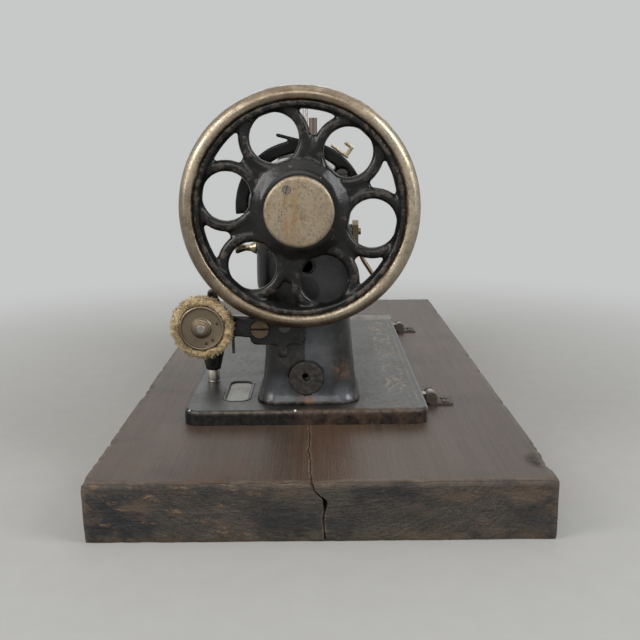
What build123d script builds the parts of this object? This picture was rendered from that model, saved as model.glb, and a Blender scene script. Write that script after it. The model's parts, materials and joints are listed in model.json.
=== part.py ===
from build123d import *
import math
import os

# An antique domestic sewing machine head on a thick plank.
# Frame: origin under the middle of the plank, +X towards the handwheel end,
# -Y towards the operator, +Z up. All sizes are in millimetres.

# Plank
plank_length = 583.0
plank_width = 288.0
plank_thickness = 39.0
plank_edge_radius = 3.0
crack_depth = 9.0
crack_width = 1.6

# Well in the plank, as margins inside the bed's outline
well_front_margin = 10.0
well_back_margin = 13.0
well_far_margin = 12.0
well_near_margin = 22.0
well_corner_radius = 10.0

# Bed
bed_length = 343.0
bed_width = 178.0
bed_height = 11.0
bed_skin = 5.0
bed_skirt = 8.0
bed_corner_radius = 12.0
bed_edge_radius = 2.5
bed_shift_x = 19.5
bed_shift_y = -9.5

# Fits and gaps
running_gap = 0.05
seat_gap = 0.3
slide_gap = 0.3
open_pivot_gap = 0.5

# Hinges at the back edge of the bed
hinge_near_inset = 50.0
hinge_far_inset = 46.0
hinge_axis_behind_bed = 7.0
hinge_axis_height = 5.5
knuckle_radius = 4.5
hinge_pin_radius = 2.0
middle_knuckle_length = 7.0
outer_knuckle_length = 4.0
leaf_depth = 12.0
leaf_thickness = 1.8
leaf_screw_radius = 1.6
leaf_screw_length = 14.0

# Main shaft, measured from the bed top
shaft_height = 143.5
shaft_y = -12.0
shaft_radius = 7.0
bush_wall = 4.5
bush_flange = 3.0

# Pillar
pillar_end_inset = 13.5
pillar_foot_front = 33.0
pillar_foot_back = 41.0
pillar_foot_depth = 68.0
pillar_ankle_height = 6.0
pillar_ankle_front = 31.7
pillar_ankle_back = 40.0
pillar_ankle_depth = 65.0
pillar_waist_height = 48.0
pillar_waist_front = 27.7
pillar_waist_back = 36.0
pillar_waist_depth = 57.0
pillar_top_front = 32.8
pillar_top_back = 33.4
pillar_top_depth = 55.0
pillar_corner = 15.0
pillar_lean = 3.5

# Arm
shoulder_inner_radius = 25.0
arm_under_drop = 31.0
arm_near_height = 64.0
arm_half_width = 33.0
arm_far_height = 50.0
arm_far_half_width = 24.0
arm_corner = 22.0
arm_wall = 6.0

# Rear bearing boss of the arm
boss_radius = 32.0
boss_wall = 6.0
boss_end_wall = 14.0
boss_beyond_pillar = 4.0

# Head, placed from the needle
needle_from_far_end = 54.0
head_far_reach = 28.0
head_near_reach = 34.0
head_front_reach = 30.0
head_back_reach = 30.0
head_wall = 6.0
head_bottom_drop = 71.5
head_jaw_drop = 43.5
head_brow_rise = 24.5
head_top_rise = 34.5
head_corner = 14.0
head_cavity_below_jaw = 10.0
bulkhead_thickness = 12.0
face_plate_thickness = 2.5
lifter_boss_radius = 8.0
lifter_boss_reach = 48.0
lifter_drop = 46.5
lifter_aside = 12.0
lifter_shaft_radius = 3.5

# Handwheel
wheel_overhang = 5.5
rim_radius = 81.5
rim_width = 19.0
rim_depth = 15.0
spoke_hole_count = 6
spoke_hole_circle = 50.1
spoke_hole_radius = 16.3
spoke_hole_angle = -11.0
branch_width = 7.4
window_inner_radius = 46.0
window_corner = 0.9
web_thickness = 9.0
web_rounding = 3.2
hub_radius = 33.0
hub_nose_radius = 26.0
hub_back_radius = 24.0
hub_front_length = 5.0
hub_back_length = 6.0

# Clutch washer and stop-motion knob
washer_radius = 16.0
washer_thickness = 1.6
knob_radius = 23.0
knob_thickness = 13.0
knob_edge = 1.2
shaft_nose_radius = 5.0
knob_screw_radius = 2.7
knob_screw_circle = 16.4
knob_screw_angle = 118.0

# Belt guard
guard_inner_radius = 37.0
guard_outer_radius = 46.0
guard_width = 13.0
guard_start_angle = 26.0
guard_end_angle = 186.0
guard_lug_angle = 37.0
guard_lug_radius = 6.5
guard_tab_thickness = 3.0
guard_screw_head = 4.3
guard_screw_shank = 2.0
guard_lug_circle = boss_radius + guard_screw_head + seat_gap

# Front crank, yoke and needle bar
crank_radius = 15.0
crank_disc_radius = 20.0
crank_disc_thickness = 6.0
crank_pin_radius = 3.0
yoke_thickness = 3.3
yoke_rail = 3.5
needle_bar_radius = 2.6
needle_bar_rise = 82.5
needle_length = 36.0
needle_radius = 0.8
needle_rest_lift = 14.0
needle_clamp_radius = 6.0
needle_clamp_height = 11.0
bar_bush_wall = 2.0

# Presser bar, placed from the needle
presser_back = 18.0
presser_aside = 6.0
presser_bar_radius = 3.2
presser_bar_rise = 32.5
presser_bar_lift = 16.0
presser_foot_gap = 0.6
presser_sole = 2.2
presser_spring_radius = 4.9
presser_spring_wire = 0.7
presser_spring_turns = 11

# Take-up lever
take_up_thickness = 4.0
take_up_pivot_drop = 37.5
take_up_pivot_front = 6.0
take_up_reach = 65.0
take_up_angle = 130.0
take_up_width = 8.0
take_up_pin_radius = 2.5
take_up_slot_side = 2.0
take_up_slot_down = 4.0
take_up_slot_up = 40.0

# Thread tension
tension_disc_radius = 11.0
tension_disc_thickness = 1.2
tension_stud_radius = 2.0
tension_stud_length = 27.0
tension_drop = 31.5
tension_aside = 9.0

# Eccentric, pillar rod and rock shaft
eccentric_radius = 13.0
eccentric_offset = 3.5
eccentric_thickness = 7.0
rod_thickness = 4.0
rod_width = 11.0
rod_strap_wall = 4.5
rod_inset = 28.0
rod_pin_radius = 3.0
rod_eye_radius = 7.0
rock_shaft_radius = 4.0
rock_shaft_depth = 35.0
rock_arm_rise = 11.0
rock_ball_radius = 4.0
rock_ball_rise = 19.0

# Shuttle lever and shuttle
lever_pivot_from_needle = 118.0
lever_pivot_front = 28.0
lever_depth = 28.0
lever_thickness = 5.0
lever_width = 12.0
lever_tail = 14.0
lever_stud_radius = 4.0
needle_to_shuttle_gap = 1.2
shuttle_radius = 6.0
shuttle_length = 32.0
carrier_floor = 1.8
shuttle_wall = 1.3
race_wall = 3.0
race_gap = 1.2
race_half_angle = 23.0

# Feed
feed_bar_length = 180.0
feed_bar_width = 8.0
feed_bar_height = 5.0
feed_bar_depth = 12.4
feed_shaft_radius = 3.5
feed_shaft_back = 52.0
feed_shaft_depth = 16.0
feed_arm_width = 6.0
feed_arm_thickness = 5.0
feed_dog_length = 16.0
feed_slot_play = 2.0

# Plates set into the bed
plate_thickness = 2.5
plate_screw_radius = 1.3
plate_screw_head = 2.4
plate_screw_head_height = 0.8
needle_plate_length = 26.0
needle_plate_width = 52.0
needle_plate_corner = 4.0
slide_plate_width = 27.0
number_plate_length = 50.0
number_plate_width = 17.0
number_plate_inset = 24.0
number_plate_front = 27.8
number_plate_recess = 1.2
number_plate_thickness = 0.8
number_plate_corner = 6.0

# Bobbin winder, placed from the shaft axis
winder_front = 68.8
winder_drop = 80.3
winder_pivot_front = 29.5
winder_pivot_drop = 84.1
tyre_outer_radius = 21.4
pulley_radius = 15.7
pulley_width = 10.0
spindle_radius = 3.0
spindle_length = 54.0
winder_arm_thickness = 7.0
winder_screw_radius = 7.0
winder_arm_to_rim = 1.0
winder_arm_width = 15.0
winder_hub_radius = 8.0
winder_pivot_radius = 3.0
bracket_screw_radius = 2.5
bracket_screw_head = 4.5
bracket_screw_behind_pivot = 17.0

# Covers, knob and pins
lower_cover_radius = 12.4
lower_cover_height = 20.1
lower_cover_back = 2.5
lower_cover_hole = 2.4
lower_cover_proud = 1.2
upper_cover_radius = 18.5
upper_cover_drop = 50.0
upper_cover_back = 15.0
upper_cover_proud = 1.6
upper_hole_radius = 4.9
upper_hole_back = 5.0
upper_hole_rise = 8.0
spool_pin_radius = 3.1
spool_pin_neck = 2.6
spool_pin_seat = 34.0
spool_pin_rise = 63.0
spool_pin_from_needle = 205.0
spool_pin_back = 9.0
stitch_knob_drop = 31.0
stitch_stud_radius = 1.8
stitch_slot_width = 2 * (stitch_stud_radius + slide_gap)
stitch_slot_up = 8.0
stitch_slot_down = 10.0

# Winding post on the bed
post_inset_x = 78.0
post_inset_y = 13.0
post_radius = 4.85
post_height = 10.0
cup_bottom_radius = 5.7
cup_top_radius = 9.0
cup_height = 15.0
post_pin_radius = 2.0
post_pin_height = 58.0

# Arm bolts
arm_bolt_radius = 3.0
arm_bolt_head = 5.5
arm_bolt_head_height = 3.5
arm_bolt_reach = 15.0

# Lugs and boss under the bed
lug_thickness = 10.0
rock_lug_width = 16.0
rock_lug_below = 7.5
feed_lug_width = 14.0
feed_lug_below = 7.0
rod_slot_side = 6.0
rod_slot_end = 8.0

# Places worked out from the sizes above
plank_top = plank_thickness
bed_far = bed_shift_x - bed_length / 2
bed_near = bed_shift_x + bed_length / 2
bed_front = bed_shift_y - bed_width / 2
bed_back = bed_shift_y + bed_width / 2
bed_top = plank_top + bed_height
bed_under = bed_top - bed_skin
shaft_z = bed_top + shaft_height
head_bottom = shaft_z - head_bottom_drop
head_jaw = shaft_z - head_jaw_drop
head_brow = shaft_z + head_brow_rise
head_top = shaft_z + head_top_rise
cavity_low = head_jaw - head_cavity_below_jaw
needle_x = bed_far + needle_from_far_end
needle_y = shaft_y
pillar_near = bed_near - pillar_end_inset
boss_end = pillar_near + boss_beyond_pillar
rim_x = bed_near + wheel_overhang
hub_front_face = rim_x + web_thickness / 2 + hub_front_length
knob_back = hub_front_face + washer_thickness
knob_face = knob_back + knob_thickness
head_far = needle_x - head_far_reach
head_near = needle_x + head_near_reach
head_front = shaft_y - head_front_reach
head_back = shaft_y + head_back_reach
arm_under = shaft_z - arm_under_drop
shoulder_x = pillar_near - pillar_lean - pillar_top_depth - shoulder_inner_radius
shoulder_z = arm_under - shoulder_inner_radius
hinge_y = bed_back + hinge_axis_behind_bed
hinge_z = plank_top + hinge_axis_height
crank_face = needle_x + needle_bar_radius + open_pivot_gap + yoke_thickness + open_pivot_gap
crank_disc_far = crank_face + 2.0
crank_disc_near = crank_disc_far + crank_disc_thickness
rod_far = pillar_near - rod_inset
rod_near = rod_far + rod_thickness
rod_y = shaft_y - eccentric_offset
rock_z = bed_top - rock_shaft_depth
rod_pin_z = rock_z + rock_arm_rise
presser_x = needle_x - presser_aside
presser_y = needle_y + presser_back
lever_x = needle_x + lever_pivot_from_needle
lever_y = needle_y - lever_pivot_front
lever_top = bed_top - lever_depth + lever_thickness
lever_bottom = bed_top - lever_depth
lever_angle = -math.degrees(math.atan2(lever_pivot_front, lever_pivot_from_needle))
rock_y = lever_y + lever_tail * math.sin(math.radians(lever_angle))
needle_arc = math.hypot(lever_pivot_from_needle, lever_pivot_front)
shuttle_arc = needle_arc + needle_to_shuttle_gap + needle_radius + shuttle_radius
shuttle_z = lever_top + carrier_floor + seat_gap + shuttle_radius
winder_y = shaft_y - winder_front
winder_z = shaft_z - winder_drop
winder_pivot_y = shaft_y - winder_pivot_front
winder_pivot_z = shaft_z - winder_pivot_drop

nodes = {}


def keep(name, *solids):
    """Store the solids of one named piece."""
    nodes[name] = solids[0] if len(solids) == 1 else Compound(children=list(solids))


def block(x0, x1, y0, y1, z0, z1):
    """A box between two corners."""
    middle = Pos((x0 + x1) / 2, (y0 + y1) / 2, (z0 + z1) / 2)
    return middle * Box(x1 - x0, y1 - y0, z1 - z0)


def bar_x(x0, x1, y, z, radius):
    """A round bar along X."""
    return Pos((x0 + x1) / 2, y, z) * Rot(0, 90, 0) * Cylinder(radius, x1 - x0)


def bar_y(y0, y1, x, z, radius):
    """A round bar along Y."""
    return Pos(x, (y0 + y1) / 2, z) * Rot(90, 0, 0) * Cylinder(radius, y1 - y0)


def bar_z(z0, z1, x, y, radius):
    """A round bar along Z."""
    return Pos(x, y, (z0 + z1) / 2) * Cylinder(radius, z1 - z0)


def end_frame(x, y, z):
    """Local frame with x along +Y, y along +Z and z along +X."""
    return Plane(origin=(x, y, z), x_dir=(0, 1, 0), z_dir=(1, 0, 0)).location


def link_x(x0, x1, y0, z0, y1, z1, width):
    """A flat link across X with rounded ends, from (y0, z0) to (y1, z1)."""
    length = math.hypot(y1 - y0, z1 - z0)
    turn = math.degrees(math.atan2(z1 - z0, y1 - y0))
    outline = Rot(0, 0, turn) * SlotCenterToCenter(length, width)
    return end_frame(x0, (y0 + y1) / 2, (z0 + z1) / 2) * extrude(outline, x1 - x0)


def slotted_head(radius, height, slot_width, slot_depth):
    """A screw head along +Z from z = 0, with a slot across its top."""
    head = Pos(0, 0, height / 2) * Cylinder(radius, height)
    slot = Pos(0, 0, height - slot_depth / 2) * Box(3 * radius, slot_width, slot_depth)
    return head - slot


def make_plank():
    slab = block(-plank_length / 2, plank_length / 2, -plank_width / 2, plank_width / 2, 0, plank_top)
    slab = fillet(slab.edges(), plank_edge_radius)
    well_length = bed_length - well_far_margin - well_near_margin
    well_width = bed_width - well_front_margin - well_back_margin
    well_x = (bed_far + well_far_margin + bed_near - well_near_margin) / 2
    well_y = (bed_front + well_front_margin + bed_back - well_back_margin) / 2
    well = extrude(RectangleRounded(well_length, well_width, well_corner_radius), 2 * plank_top)
    slab -= Pos(well_x, well_y, -plank_top / 2) * well
    end = plank_length / 2
    start = bed_near - well_near_margin / 2
    top_line = [(start, shaft_y + 4.0), ((start + end) / 2, shaft_y + 5.2), (end + 1, shaft_y + 6.6)]
    end_line = [
        (shaft_y + 6.6, plank_top + 1),
        (shaft_y + 14.9, plank_top * 0.65),
        (shaft_y + 15.7, -1.0),
    ]
    for (x0, y0), (x1, y1) in zip(top_line, top_line[1:]):
        slab -= crack_wedge_top(x0, y0, x1, y1)
    for (y0, z0), (y1, z1) in zip(end_line, end_line[1:]):
        slab -= crack_wedge_end(y0, z0, y1, z1)
    return slab


def crack_wedge_top(x0, y0, x1, y1):
    """A V-shaped split in the plank's top between two points."""
    length = math.hypot(x1 - x0, y1 - y0) + crack_width
    section = Plane.YZ * Polygon(
        (-crack_width / 2, 0.5), (crack_width / 2, 0.5), (0, -crack_depth), align=None
    )
    wedge = extrude(section, length)
    turn = math.degrees(math.atan2(y1 - y0, x1 - x0))
    return Pos(x0, y0, plank_top) * Rot(0, 0, turn) * wedge


def crack_wedge_end(y0, z0, y1, z1):
    """A V-shaped split in the plank's near end between two points."""
    length = math.hypot(y1 - y0, z1 - z0) + crack_width
    section = Plane.XY * Polygon(
        (0.5, -crack_width / 2), (0.5, crack_width / 2), (-crack_depth, 0), align=None
    )
    wedge = extrude(section, -length)
    turn = math.degrees(math.atan2(y1 - y0, z0 - z1))
    return Pos(plank_length / 2, y0, z0) * Rot(turn, 0, 0) * wedge


hinge_places = (bed_near - hinge_near_inset, bed_far + hinge_far_inset)


def make_hinges():
    leaves = []
    screws = []
    eyes = []
    pins = []
    half = middle_knuckle_length / 2
    for x in hinge_places:
        ears = None
        for side in (-1, 1):
            near = x + side * (half + slide_gap)
            away = near + side * outer_knuckle_length
            low, high = min(near, away), max(near, away)
            ear = bar_x(low, high, hinge_y, hinge_z, knuckle_radius)
            ear += block(low, high, hinge_y - 1, hinge_y + knuckle_radius, plank_top, hinge_z)
            ears = ear if ears is None else ears + ear
        reach = half + slide_gap + outer_knuckle_length
        leaf_start = hinge_y + knuckle_radius + slide_gap
        leaf = block(x - reach, x + reach, leaf_start - 1, leaf_start + leaf_depth, plank_top, plank_top + leaf_thickness)
        leaf -= block(x - half - slide_gap, x + half + slide_gap, leaf_start - 2, leaf_start, plank_top, hinge_z)
        ears += leaf
        ears -= bar_x(x - 2 * reach, x + 2 * reach, hinge_y, hinge_z, hinge_pin_radius)
        screw_y = leaf_start + leaf_depth * 0.55
        for side in (-1, 1):
            screw_x = x + side * reach * 0.5
            hole = bar_z(0, plank_top + 10, screw_x, screw_y, leaf_screw_radius + running_gap)
            ears -= hole
            shank = bar_z(plank_top - leaf_screw_length, plank_top + leaf_thickness, screw_x, screw_y, leaf_screw_radius)
            head = Pos(screw_x, screw_y, plank_top + leaf_thickness) * slotted_head(2.9, 1.0, 0.7, 0.5)
            screws.append(shank + head)
        leaves.append(ears)
        eye = bar_x(x - half, x + half, hinge_y, hinge_z, knuckle_radius)
        eye += block(x - half, x + half, bed_back, hinge_y, hinge_z - 2.5, hinge_z + 2.5)
        eye -= bar_x(x - reach, x + reach, hinge_y, hinge_z, hinge_pin_radius + running_gap)
        eyes.append(eye)
        pins.append(bar_x(x - reach, x + reach, hinge_y, hinge_z, hinge_pin_radius))
    keep("hinge_leaves", *leaves)
    keep("hinge_eyes", *eyes)
    keep("hinge_pins_and_screws", *pins, *screws)
    return screws


def arch_section(origin, direction, width, height, corner):
    """A rounded rectangle across the arch's path, with its width along Y."""
    plane = Plane(origin=origin, x_dir=(0, 1, 0), z_dir=direction)
    radius = min(corner, width / 2 - 1, height / 2 - 1)
    return plane * RectangleRounded(width, height, radius)


def upright_section(z, near, front, back, depth, inset):
    """A level section of the pillar, drawn in by inset."""
    middle = (near - depth / 2, shaft_y + (back - front) / 2, z)
    size = (front + back - 2 * inset, depth - 2 * inset)
    return arch_section(middle, (0, 0, 1), *size, pillar_corner - inset * 0.6)


def shoulder_section(share, inset):
    """A section of the round shoulder, from the pillar (share 0) to the arm (share 1)."""
    angle = math.radians(90 * share)
    depth = pillar_top_depth + (arm_near_height - pillar_top_depth) * share
    front = pillar_top_front + (arm_half_width - pillar_top_front) * share
    back = pillar_top_back + (arm_half_width - pillar_top_back) * share
    corner = pillar_corner + (arm_corner - pillar_corner) * share
    radius = shoulder_inner_radius + depth / 2
    middle = (
        shoulder_x + radius * math.cos(angle),
        shaft_y + (back - front) / 2,
        shoulder_z + radius * math.sin(angle),
    )
    direction = (-math.sin(angle), 0, math.cos(angle))
    size = (front + back - 2 * inset, depth - 2 * inset)
    return arch_section(middle, direction, *size, corner - inset * 0.6)


def arm_section(share, far_end, inset):
    """A section of the arm, from the shoulder (share 0) to far_end (share 1)."""
    x = shoulder_x + (far_end - shoulder_x) * share
    height = arm_near_height + (arm_far_height - arm_near_height) * share ** 0.8
    half = arm_half_width + (arm_far_half_width - arm_half_width) * share ** 0.8
    near_z = arm_under + arm_near_height / 2
    z = near_z + (shaft_z - near_z) * share
    corner = arm_corner - 3 * share - inset * 0.6
    return arch_section((x, shaft_y, z), (-1, 0, 0), 2 * half - 2 * inset, height - 2 * inset, corner)


def arch(inset, far_end):
    """The arm from the pillar's foot round the shoulder to far_end, drawn in by inset."""
    foot = (
        bed_top, pillar_near, pillar_foot_front, pillar_foot_back, pillar_foot_depth, inset
    )
    ankle = (
        bed_top + pillar_ankle_height, pillar_near - pillar_lean * 0.4,
        pillar_ankle_front, pillar_ankle_back, pillar_ankle_depth, inset,
    )
    waist = (
        bed_top + pillar_waist_height, pillar_near - pillar_lean * 0.8,
        pillar_waist_front, pillar_waist_back, pillar_waist_depth, inset,
    )
    shape = loft([upright_section(*foot), upright_section(*ankle)], ruled=True)
    shape += loft([upright_section(*ankle), upright_section(*waist), shoulder_section(0.0, inset)])
    shape += loft([shoulder_section(step / 4, inset) for step in range(5)])
    shape += loft([arm_section(step / 3, far_end, inset) for step in range(4)])
    return shape


def head_shape():
    """The head's outer shape, run on past its flat far side."""
    overshoot = 8.0
    near = head_near
    far = head_far - overshoot
    middle_x = (near + far) / 2
    depth = near - far
    width = head_back - head_front
    middle_y = (head_back + head_front) / 2
    sections = []
    for z, narrower in ((head_bottom, 18.0), (head_jaw, 1.0), (head_brow, 0.0), (head_top, 8.0)):
        plane = Plane(origin=(middle_x, middle_y, z), x_dir=(1, 0, 0), z_dir=(0, 0, 1))
        sections.append(plane * RectangleRounded(depth - narrower, width - narrower, head_corner - narrower / 9))
    return loft(sections, ruled=True)


def head_cavity():
    """The room inside the head for the crank, bars and take-up lever."""
    return block(
        head_far - 20,
        head_near - head_wall,
        head_front + head_wall,
        head_back - head_wall,
        cavity_low,
        head_brow,
    )


arm_bolt_far = pillar_near - pillar_foot_depth + 16.0
arm_bolt_near = pillar_near - 18.0
arm_bolt_front = shaft_y - 19.0
arm_bolt_back = shaft_y + 26.0
arm_bolt_places = (
    (arm_bolt_far, arm_bolt_front), (arm_bolt_far, arm_bolt_back), (arm_bolt_near, arm_bolt_back)
)
stitch_x = pillar_near - pillar_lean - pillar_top_depth * 0.45
stitch_z = shaft_z - stitch_knob_drop
spool_pin_x = needle_x + spool_pin_from_needle
spool_pin_y = shaft_y + spool_pin_back
lifter_z = shaft_z - lifter_drop
lifter_x = needle_x - lifter_aside
tension_x = needle_x - tension_aside
tension_z = shaft_z - tension_drop
take_up_x = crank_disc_near + 3.0 + take_up_thickness / 2
take_up_pivot_y = shaft_y - take_up_pivot_front
take_up_pivot_z = shaft_z - take_up_pivot_drop
take_up_pin_end = head_near - 1.5
spool_pin_foot = shaft_z + boss_radius - arm_wall - 6.0
spool_pin_base = shaft_z + spool_pin_seat
guard_x0 = boss_end - 24.0
guard_x1 = guard_x0 + guard_width
guard_lug_y = shaft_y + guard_lug_circle * math.cos(math.radians(guard_lug_angle))
guard_lug_z = shaft_z + guard_lug_circle * math.sin(math.radians(guard_lug_angle))
guard_tab_x = guard_x0 + 5.0


def make_arm():
    outer = arch(0.0, head_near - 8.0)
    boss_start = boss_end - 84.0
    outer += bar_x(boss_start, boss_end, shaft_y, shaft_z, boss_radius)
    head = head_shape() & block(head_far, head_near + 20, head_front - 20, head_back + 20, 0, 2 * shaft_z)
    outer += head
    outer += bar_y(head_back - head_wall, shaft_y + lifter_boss_reach, lifter_x, lifter_z, lifter_boss_radius)
    outer += bar_x(boss_start + 30, guard_tab_x, guard_lug_y, guard_lug_z, guard_lug_radius)
    inner = arch(arm_wall, head_near + bulkhead_thickness)
    inner += bar_x(boss_start + 8, boss_end - boss_end_wall, shaft_y, shaft_z, boss_radius - boss_wall)
    casting = outer - inner - head_cavity()
    for x, y in arm_bolt_places:
        post = bar_z(bed_top, bed_top + arm_bolt_reach + 4, x, y, arm_bolt_radius + 4.5)
        casting += post & arch(1.0, head_near)
    for x, y in arm_bolt_places:
        casting -= bar_z(bed_top - 1, bed_top + arm_bolt_reach + 0.5, x, y, arm_bolt_radius + running_gap)
    bush_radius = shaft_radius + bush_wall
    casting -= bar_x(boss_end - 30, boss_end + 5, shaft_y, shaft_z, bush_radius)
    casting -= bar_x(head_near - 12, head_near + 16, shaft_y, shaft_z, bush_radius)
    for x, y, radius in (
        (needle_x, needle_y, needle_bar_radius),
        (presser_x, presser_y, presser_bar_radius),
    ):
        casting -= bar_z(head_bottom - bar_bush_wall, head_top + bar_bush_wall, x, y, radius + bar_bush_wall)
    lifter_bore = lifter_shaft_radius + running_gap
    casting -= bar_y(presser_y - 6, shaft_y + lifter_boss_reach + 2, lifter_x, lifter_z, lifter_bore)
    slot_x = take_up_thickness / 2 + take_up_slot_side
    casting -= block(
        take_up_x - slot_x, take_up_x + slot_x, head_front - 3, head_front + head_wall + 1,
        take_up_pivot_z - take_up_slot_down, take_up_pivot_z + take_up_slot_up,
    )
    casting -= bar_x(take_up_x, take_up_pin_end, take_up_pivot_y, take_up_pivot_z, take_up_pin_radius)
    casting -= bar_y(head_front - 3, head_front + head_wall + 2, tension_x, tension_z, tension_stud_radius)
    casting -= block(
        stitch_x - stitch_slot_width / 2, stitch_x + stitch_slot_width / 2,
        shaft_y - arm_half_width - 4, shaft_y - arm_half_width + 12,
        stitch_z - stitch_slot_down - 3, stitch_z + stitch_slot_up + 3,
    )
    casting -= bar_z(spool_pin_foot, spool_pin_base, spool_pin_x, spool_pin_y, spool_pin_neck)
    casting -= bar_x(guard_tab_x - 9, guard_tab_x + 1, guard_lug_y, guard_lug_z, guard_screw_shank)
    bracket_screw_y = winder_pivot_y + bracket_screw_behind_pivot
    casting -= bar_x(pillar_near - 12, pillar_near + 9, bracket_screw_y, winder_pivot_z, bracket_screw_radius)
    return casting


def make_bed():
    """The bed's top plate, level with everything that is set into it."""
    plate = extrude(RectangleRounded(bed_length, bed_width, bed_corner_radius), bed_skin)
    plate = fillet(plate.faces().sort_by(Axis.Z)[-1].edges(), bed_edge_radius)
    plate = Pos(bed_shift_x, bed_shift_y, bed_under) * plate
    plate -= bar_z(bed_under - 1, bed_top - 2.5, lever_x, lever_y, lever_stud_radius)
    plate -= needle_plate_shape(0.1, needle_plate_length, plate_thickness + 5)
    plate -= block(
        needle_x - 13, needle_x + 9, needle_y - 16, needle_y + 20, bed_under - 1, bed_top - plate_thickness
    )
    plate -= block(
        slide_x0 - 0.1, slide_x1 + 0.1, bed_front - 1, bed_back + 1, bed_top - plate_thickness, bed_top + 1
    )
    plate -= block(
        slide_x0 + 4, slide_x1 - 4, bed_front + 30, bed_back - 34, bed_under - 1, bed_top
    )
    plate -= number_plate_shape(0.15, number_plate_recess + number_plate_thickness)
    slot_y = rod_width + rod_slot_end
    plate -= block(
        rod_far - rod_slot_side, rod_near + rod_slot_side, rod_y - slot_y, rod_y + slot_y, bed_under - 1, bed_top + 1
    )
    for x, y in arm_bolt_places:
        plate -= bar_z(bed_under - 1, bed_top + 1, x, y, arm_bolt_radius + running_gap)
    plate -= bar_z(bed_under - 1, bed_top + 1, post_x, post_y, post_radius - 1.5)
    for x, y in plate_screw_places:
        plate -= bar_z(bed_under + 0.5, bed_top, x, y, plate_screw_radius)
    return plate


def lug(x, y, z, width, below, bore):
    """A bearing lug under the bed, from the plate down round a shaft along X."""
    solid = block(
        x - lug_thickness / 2, x + lug_thickness / 2, y - width / 2, y + width / 2, z - below, bed_under
    )
    return solid - bar_x(x - lug_thickness, x + lug_thickness, y, z, bore)


def make_underframe():
    """The rails round the bed's underside, its shaft lugs and the lever's boss, under the plate."""
    outside = RectangleRounded(bed_length, bed_width, bed_corner_radius)
    inside = RectangleRounded(bed_length - 2 * bed_skirt, bed_width - 2 * bed_skirt, bed_corner_radius - 3)
    ring = Pos(bed_shift_x, bed_shift_y, plank_top) * extrude(outside - inside, bed_under - plank_top)
    rail_front = bed_front + bed_corner_radius
    rail_back = bed_back - bed_corner_radius
    rails = [
        ring & block(bed_far, bed_near, bed_front, rail_front, 0, bed_under),
        ring & block(bed_far, bed_near, rail_back, bed_back, 0, bed_under),
        ring & block(bed_far, bed_far + bed_skirt, rail_front, rail_back, 0, bed_under),
        ring & block(bed_near - bed_skirt, bed_near, rail_front, rail_back, 0, bed_under),
    ]
    lugs = [lug(x, rock_y, rock_z, rock_lug_width, rock_lug_below, rock_shaft_radius + running_gap) for x in rock_lugs]
    lugs += [lug(x, feed_y, feed_z, feed_lug_width, feed_lug_below, feed_shaft_radius + running_gap) for x in feed_lugs]
    boss = bar_z(lever_top + seat_gap, bed_under, lever_x, lever_y, lever_stud_radius + 5)
    boss -= bar_z(lever_top, bed_under + 1, lever_x, lever_y, lever_stud_radius)
    return [*rails, *lugs, boss]


rock_lugs = (lever_x + 38.0, rod_far - 12.0)
feed_lugs = (needle_x + 52.0, needle_x + 160.0)
feed_y = needle_y + feed_shaft_back
feed_z = bed_top - feed_shaft_depth
post_x = bed_near - post_inset_x
post_y = bed_front + post_inset_y
slide_x1 = needle_x - 17.0
slide_x0 = slide_x1 - slide_plate_width
plate_screw_places = ((needle_x + 5.5, needle_y - 18.0), (needle_x + 5.5, needle_y + 22.0))
needle_plate_middle = (needle_x - 3.0, needle_y + 2.0)


def needle_plate_shape(gap, length, thickness):
    """The needle plate's outline with a gap all round, its top level with the bed."""
    outline = RectangleRounded(length + 2 * gap, needle_plate_width + 2 * gap, needle_plate_corner)
    x, y = needle_plate_middle
    return Pos(x, y, bed_top - plate_thickness) * extrude(outline, thickness)


def number_plate_shape(gap, thickness):
    """The bare number plate's outline, sunk into the bed."""
    outline = RectangleRounded(
        number_plate_length + 2 * gap, number_plate_width + 2 * gap, number_plate_corner
    )
    x = bed_near - number_plate_inset - number_plate_length / 2
    y = bed_front + number_plate_front + number_plate_width / 2
    return Pos(x, y, bed_top - number_plate_recess - number_plate_thickness) * extrude(outline, thickness)


def make_bed_plates():
    plate = needle_plate_shape(0.0, needle_plate_length, plate_thickness)
    for side in (-1, 1):
        slot_x = needle_x + side * 4.0
        plate -= block(
            slot_x - 1.9, slot_x + 1.9,
            needle_y - feed_dog_length / 2 - feed_slot_play - 0.5,
            needle_y + feed_dog_length / 2 + feed_slot_play + 0.5,
            bed_top - plate_thickness - 1, bed_top + 1,
        )
    plate -= bar_z(bed_top - 5, bed_top + 1, needle_x, needle_y, 1.5)
    screws = []
    for x, y in plate_screw_places:
        seat = bed_top - plate_screw_head_height
        plate -= bar_z(bed_top - 5, bed_top + 1, x, y, plate_screw_radius + running_gap)
        plate -= bar_z(seat, bed_top + 1, x, y, plate_screw_head + running_gap)
        shank = bar_z(bed_under + 0.8, seat + 0.1, x, y, plate_screw_radius)
        head = slotted_head(plate_screw_head, plate_screw_head_height, 0.6, plate_screw_head_height / 2)
        screws.append(shank + Pos(x, y, seat) * head)
    keep("needle_plate", plate)
    low = bed_top - plate_thickness + 0.05
    split = needle_y + 1.0
    front = block(slide_x0, slide_x1, bed_front, split - 0.1, low, bed_top)
    front -= block(slide_x0 + 3, slide_x1 - 9, bed_front + 4, bed_front + 7, bed_top - 0.8, bed_top + 1)
    back = block(slide_x0, slide_x1, split + 0.1, bed_back, low, bed_top)
    keep("front_slide_plate", front)
    keep("rear_slide_plate", back)
    keep("number_plate", number_plate_shape(0.0, number_plate_thickness))
    return screws


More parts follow.
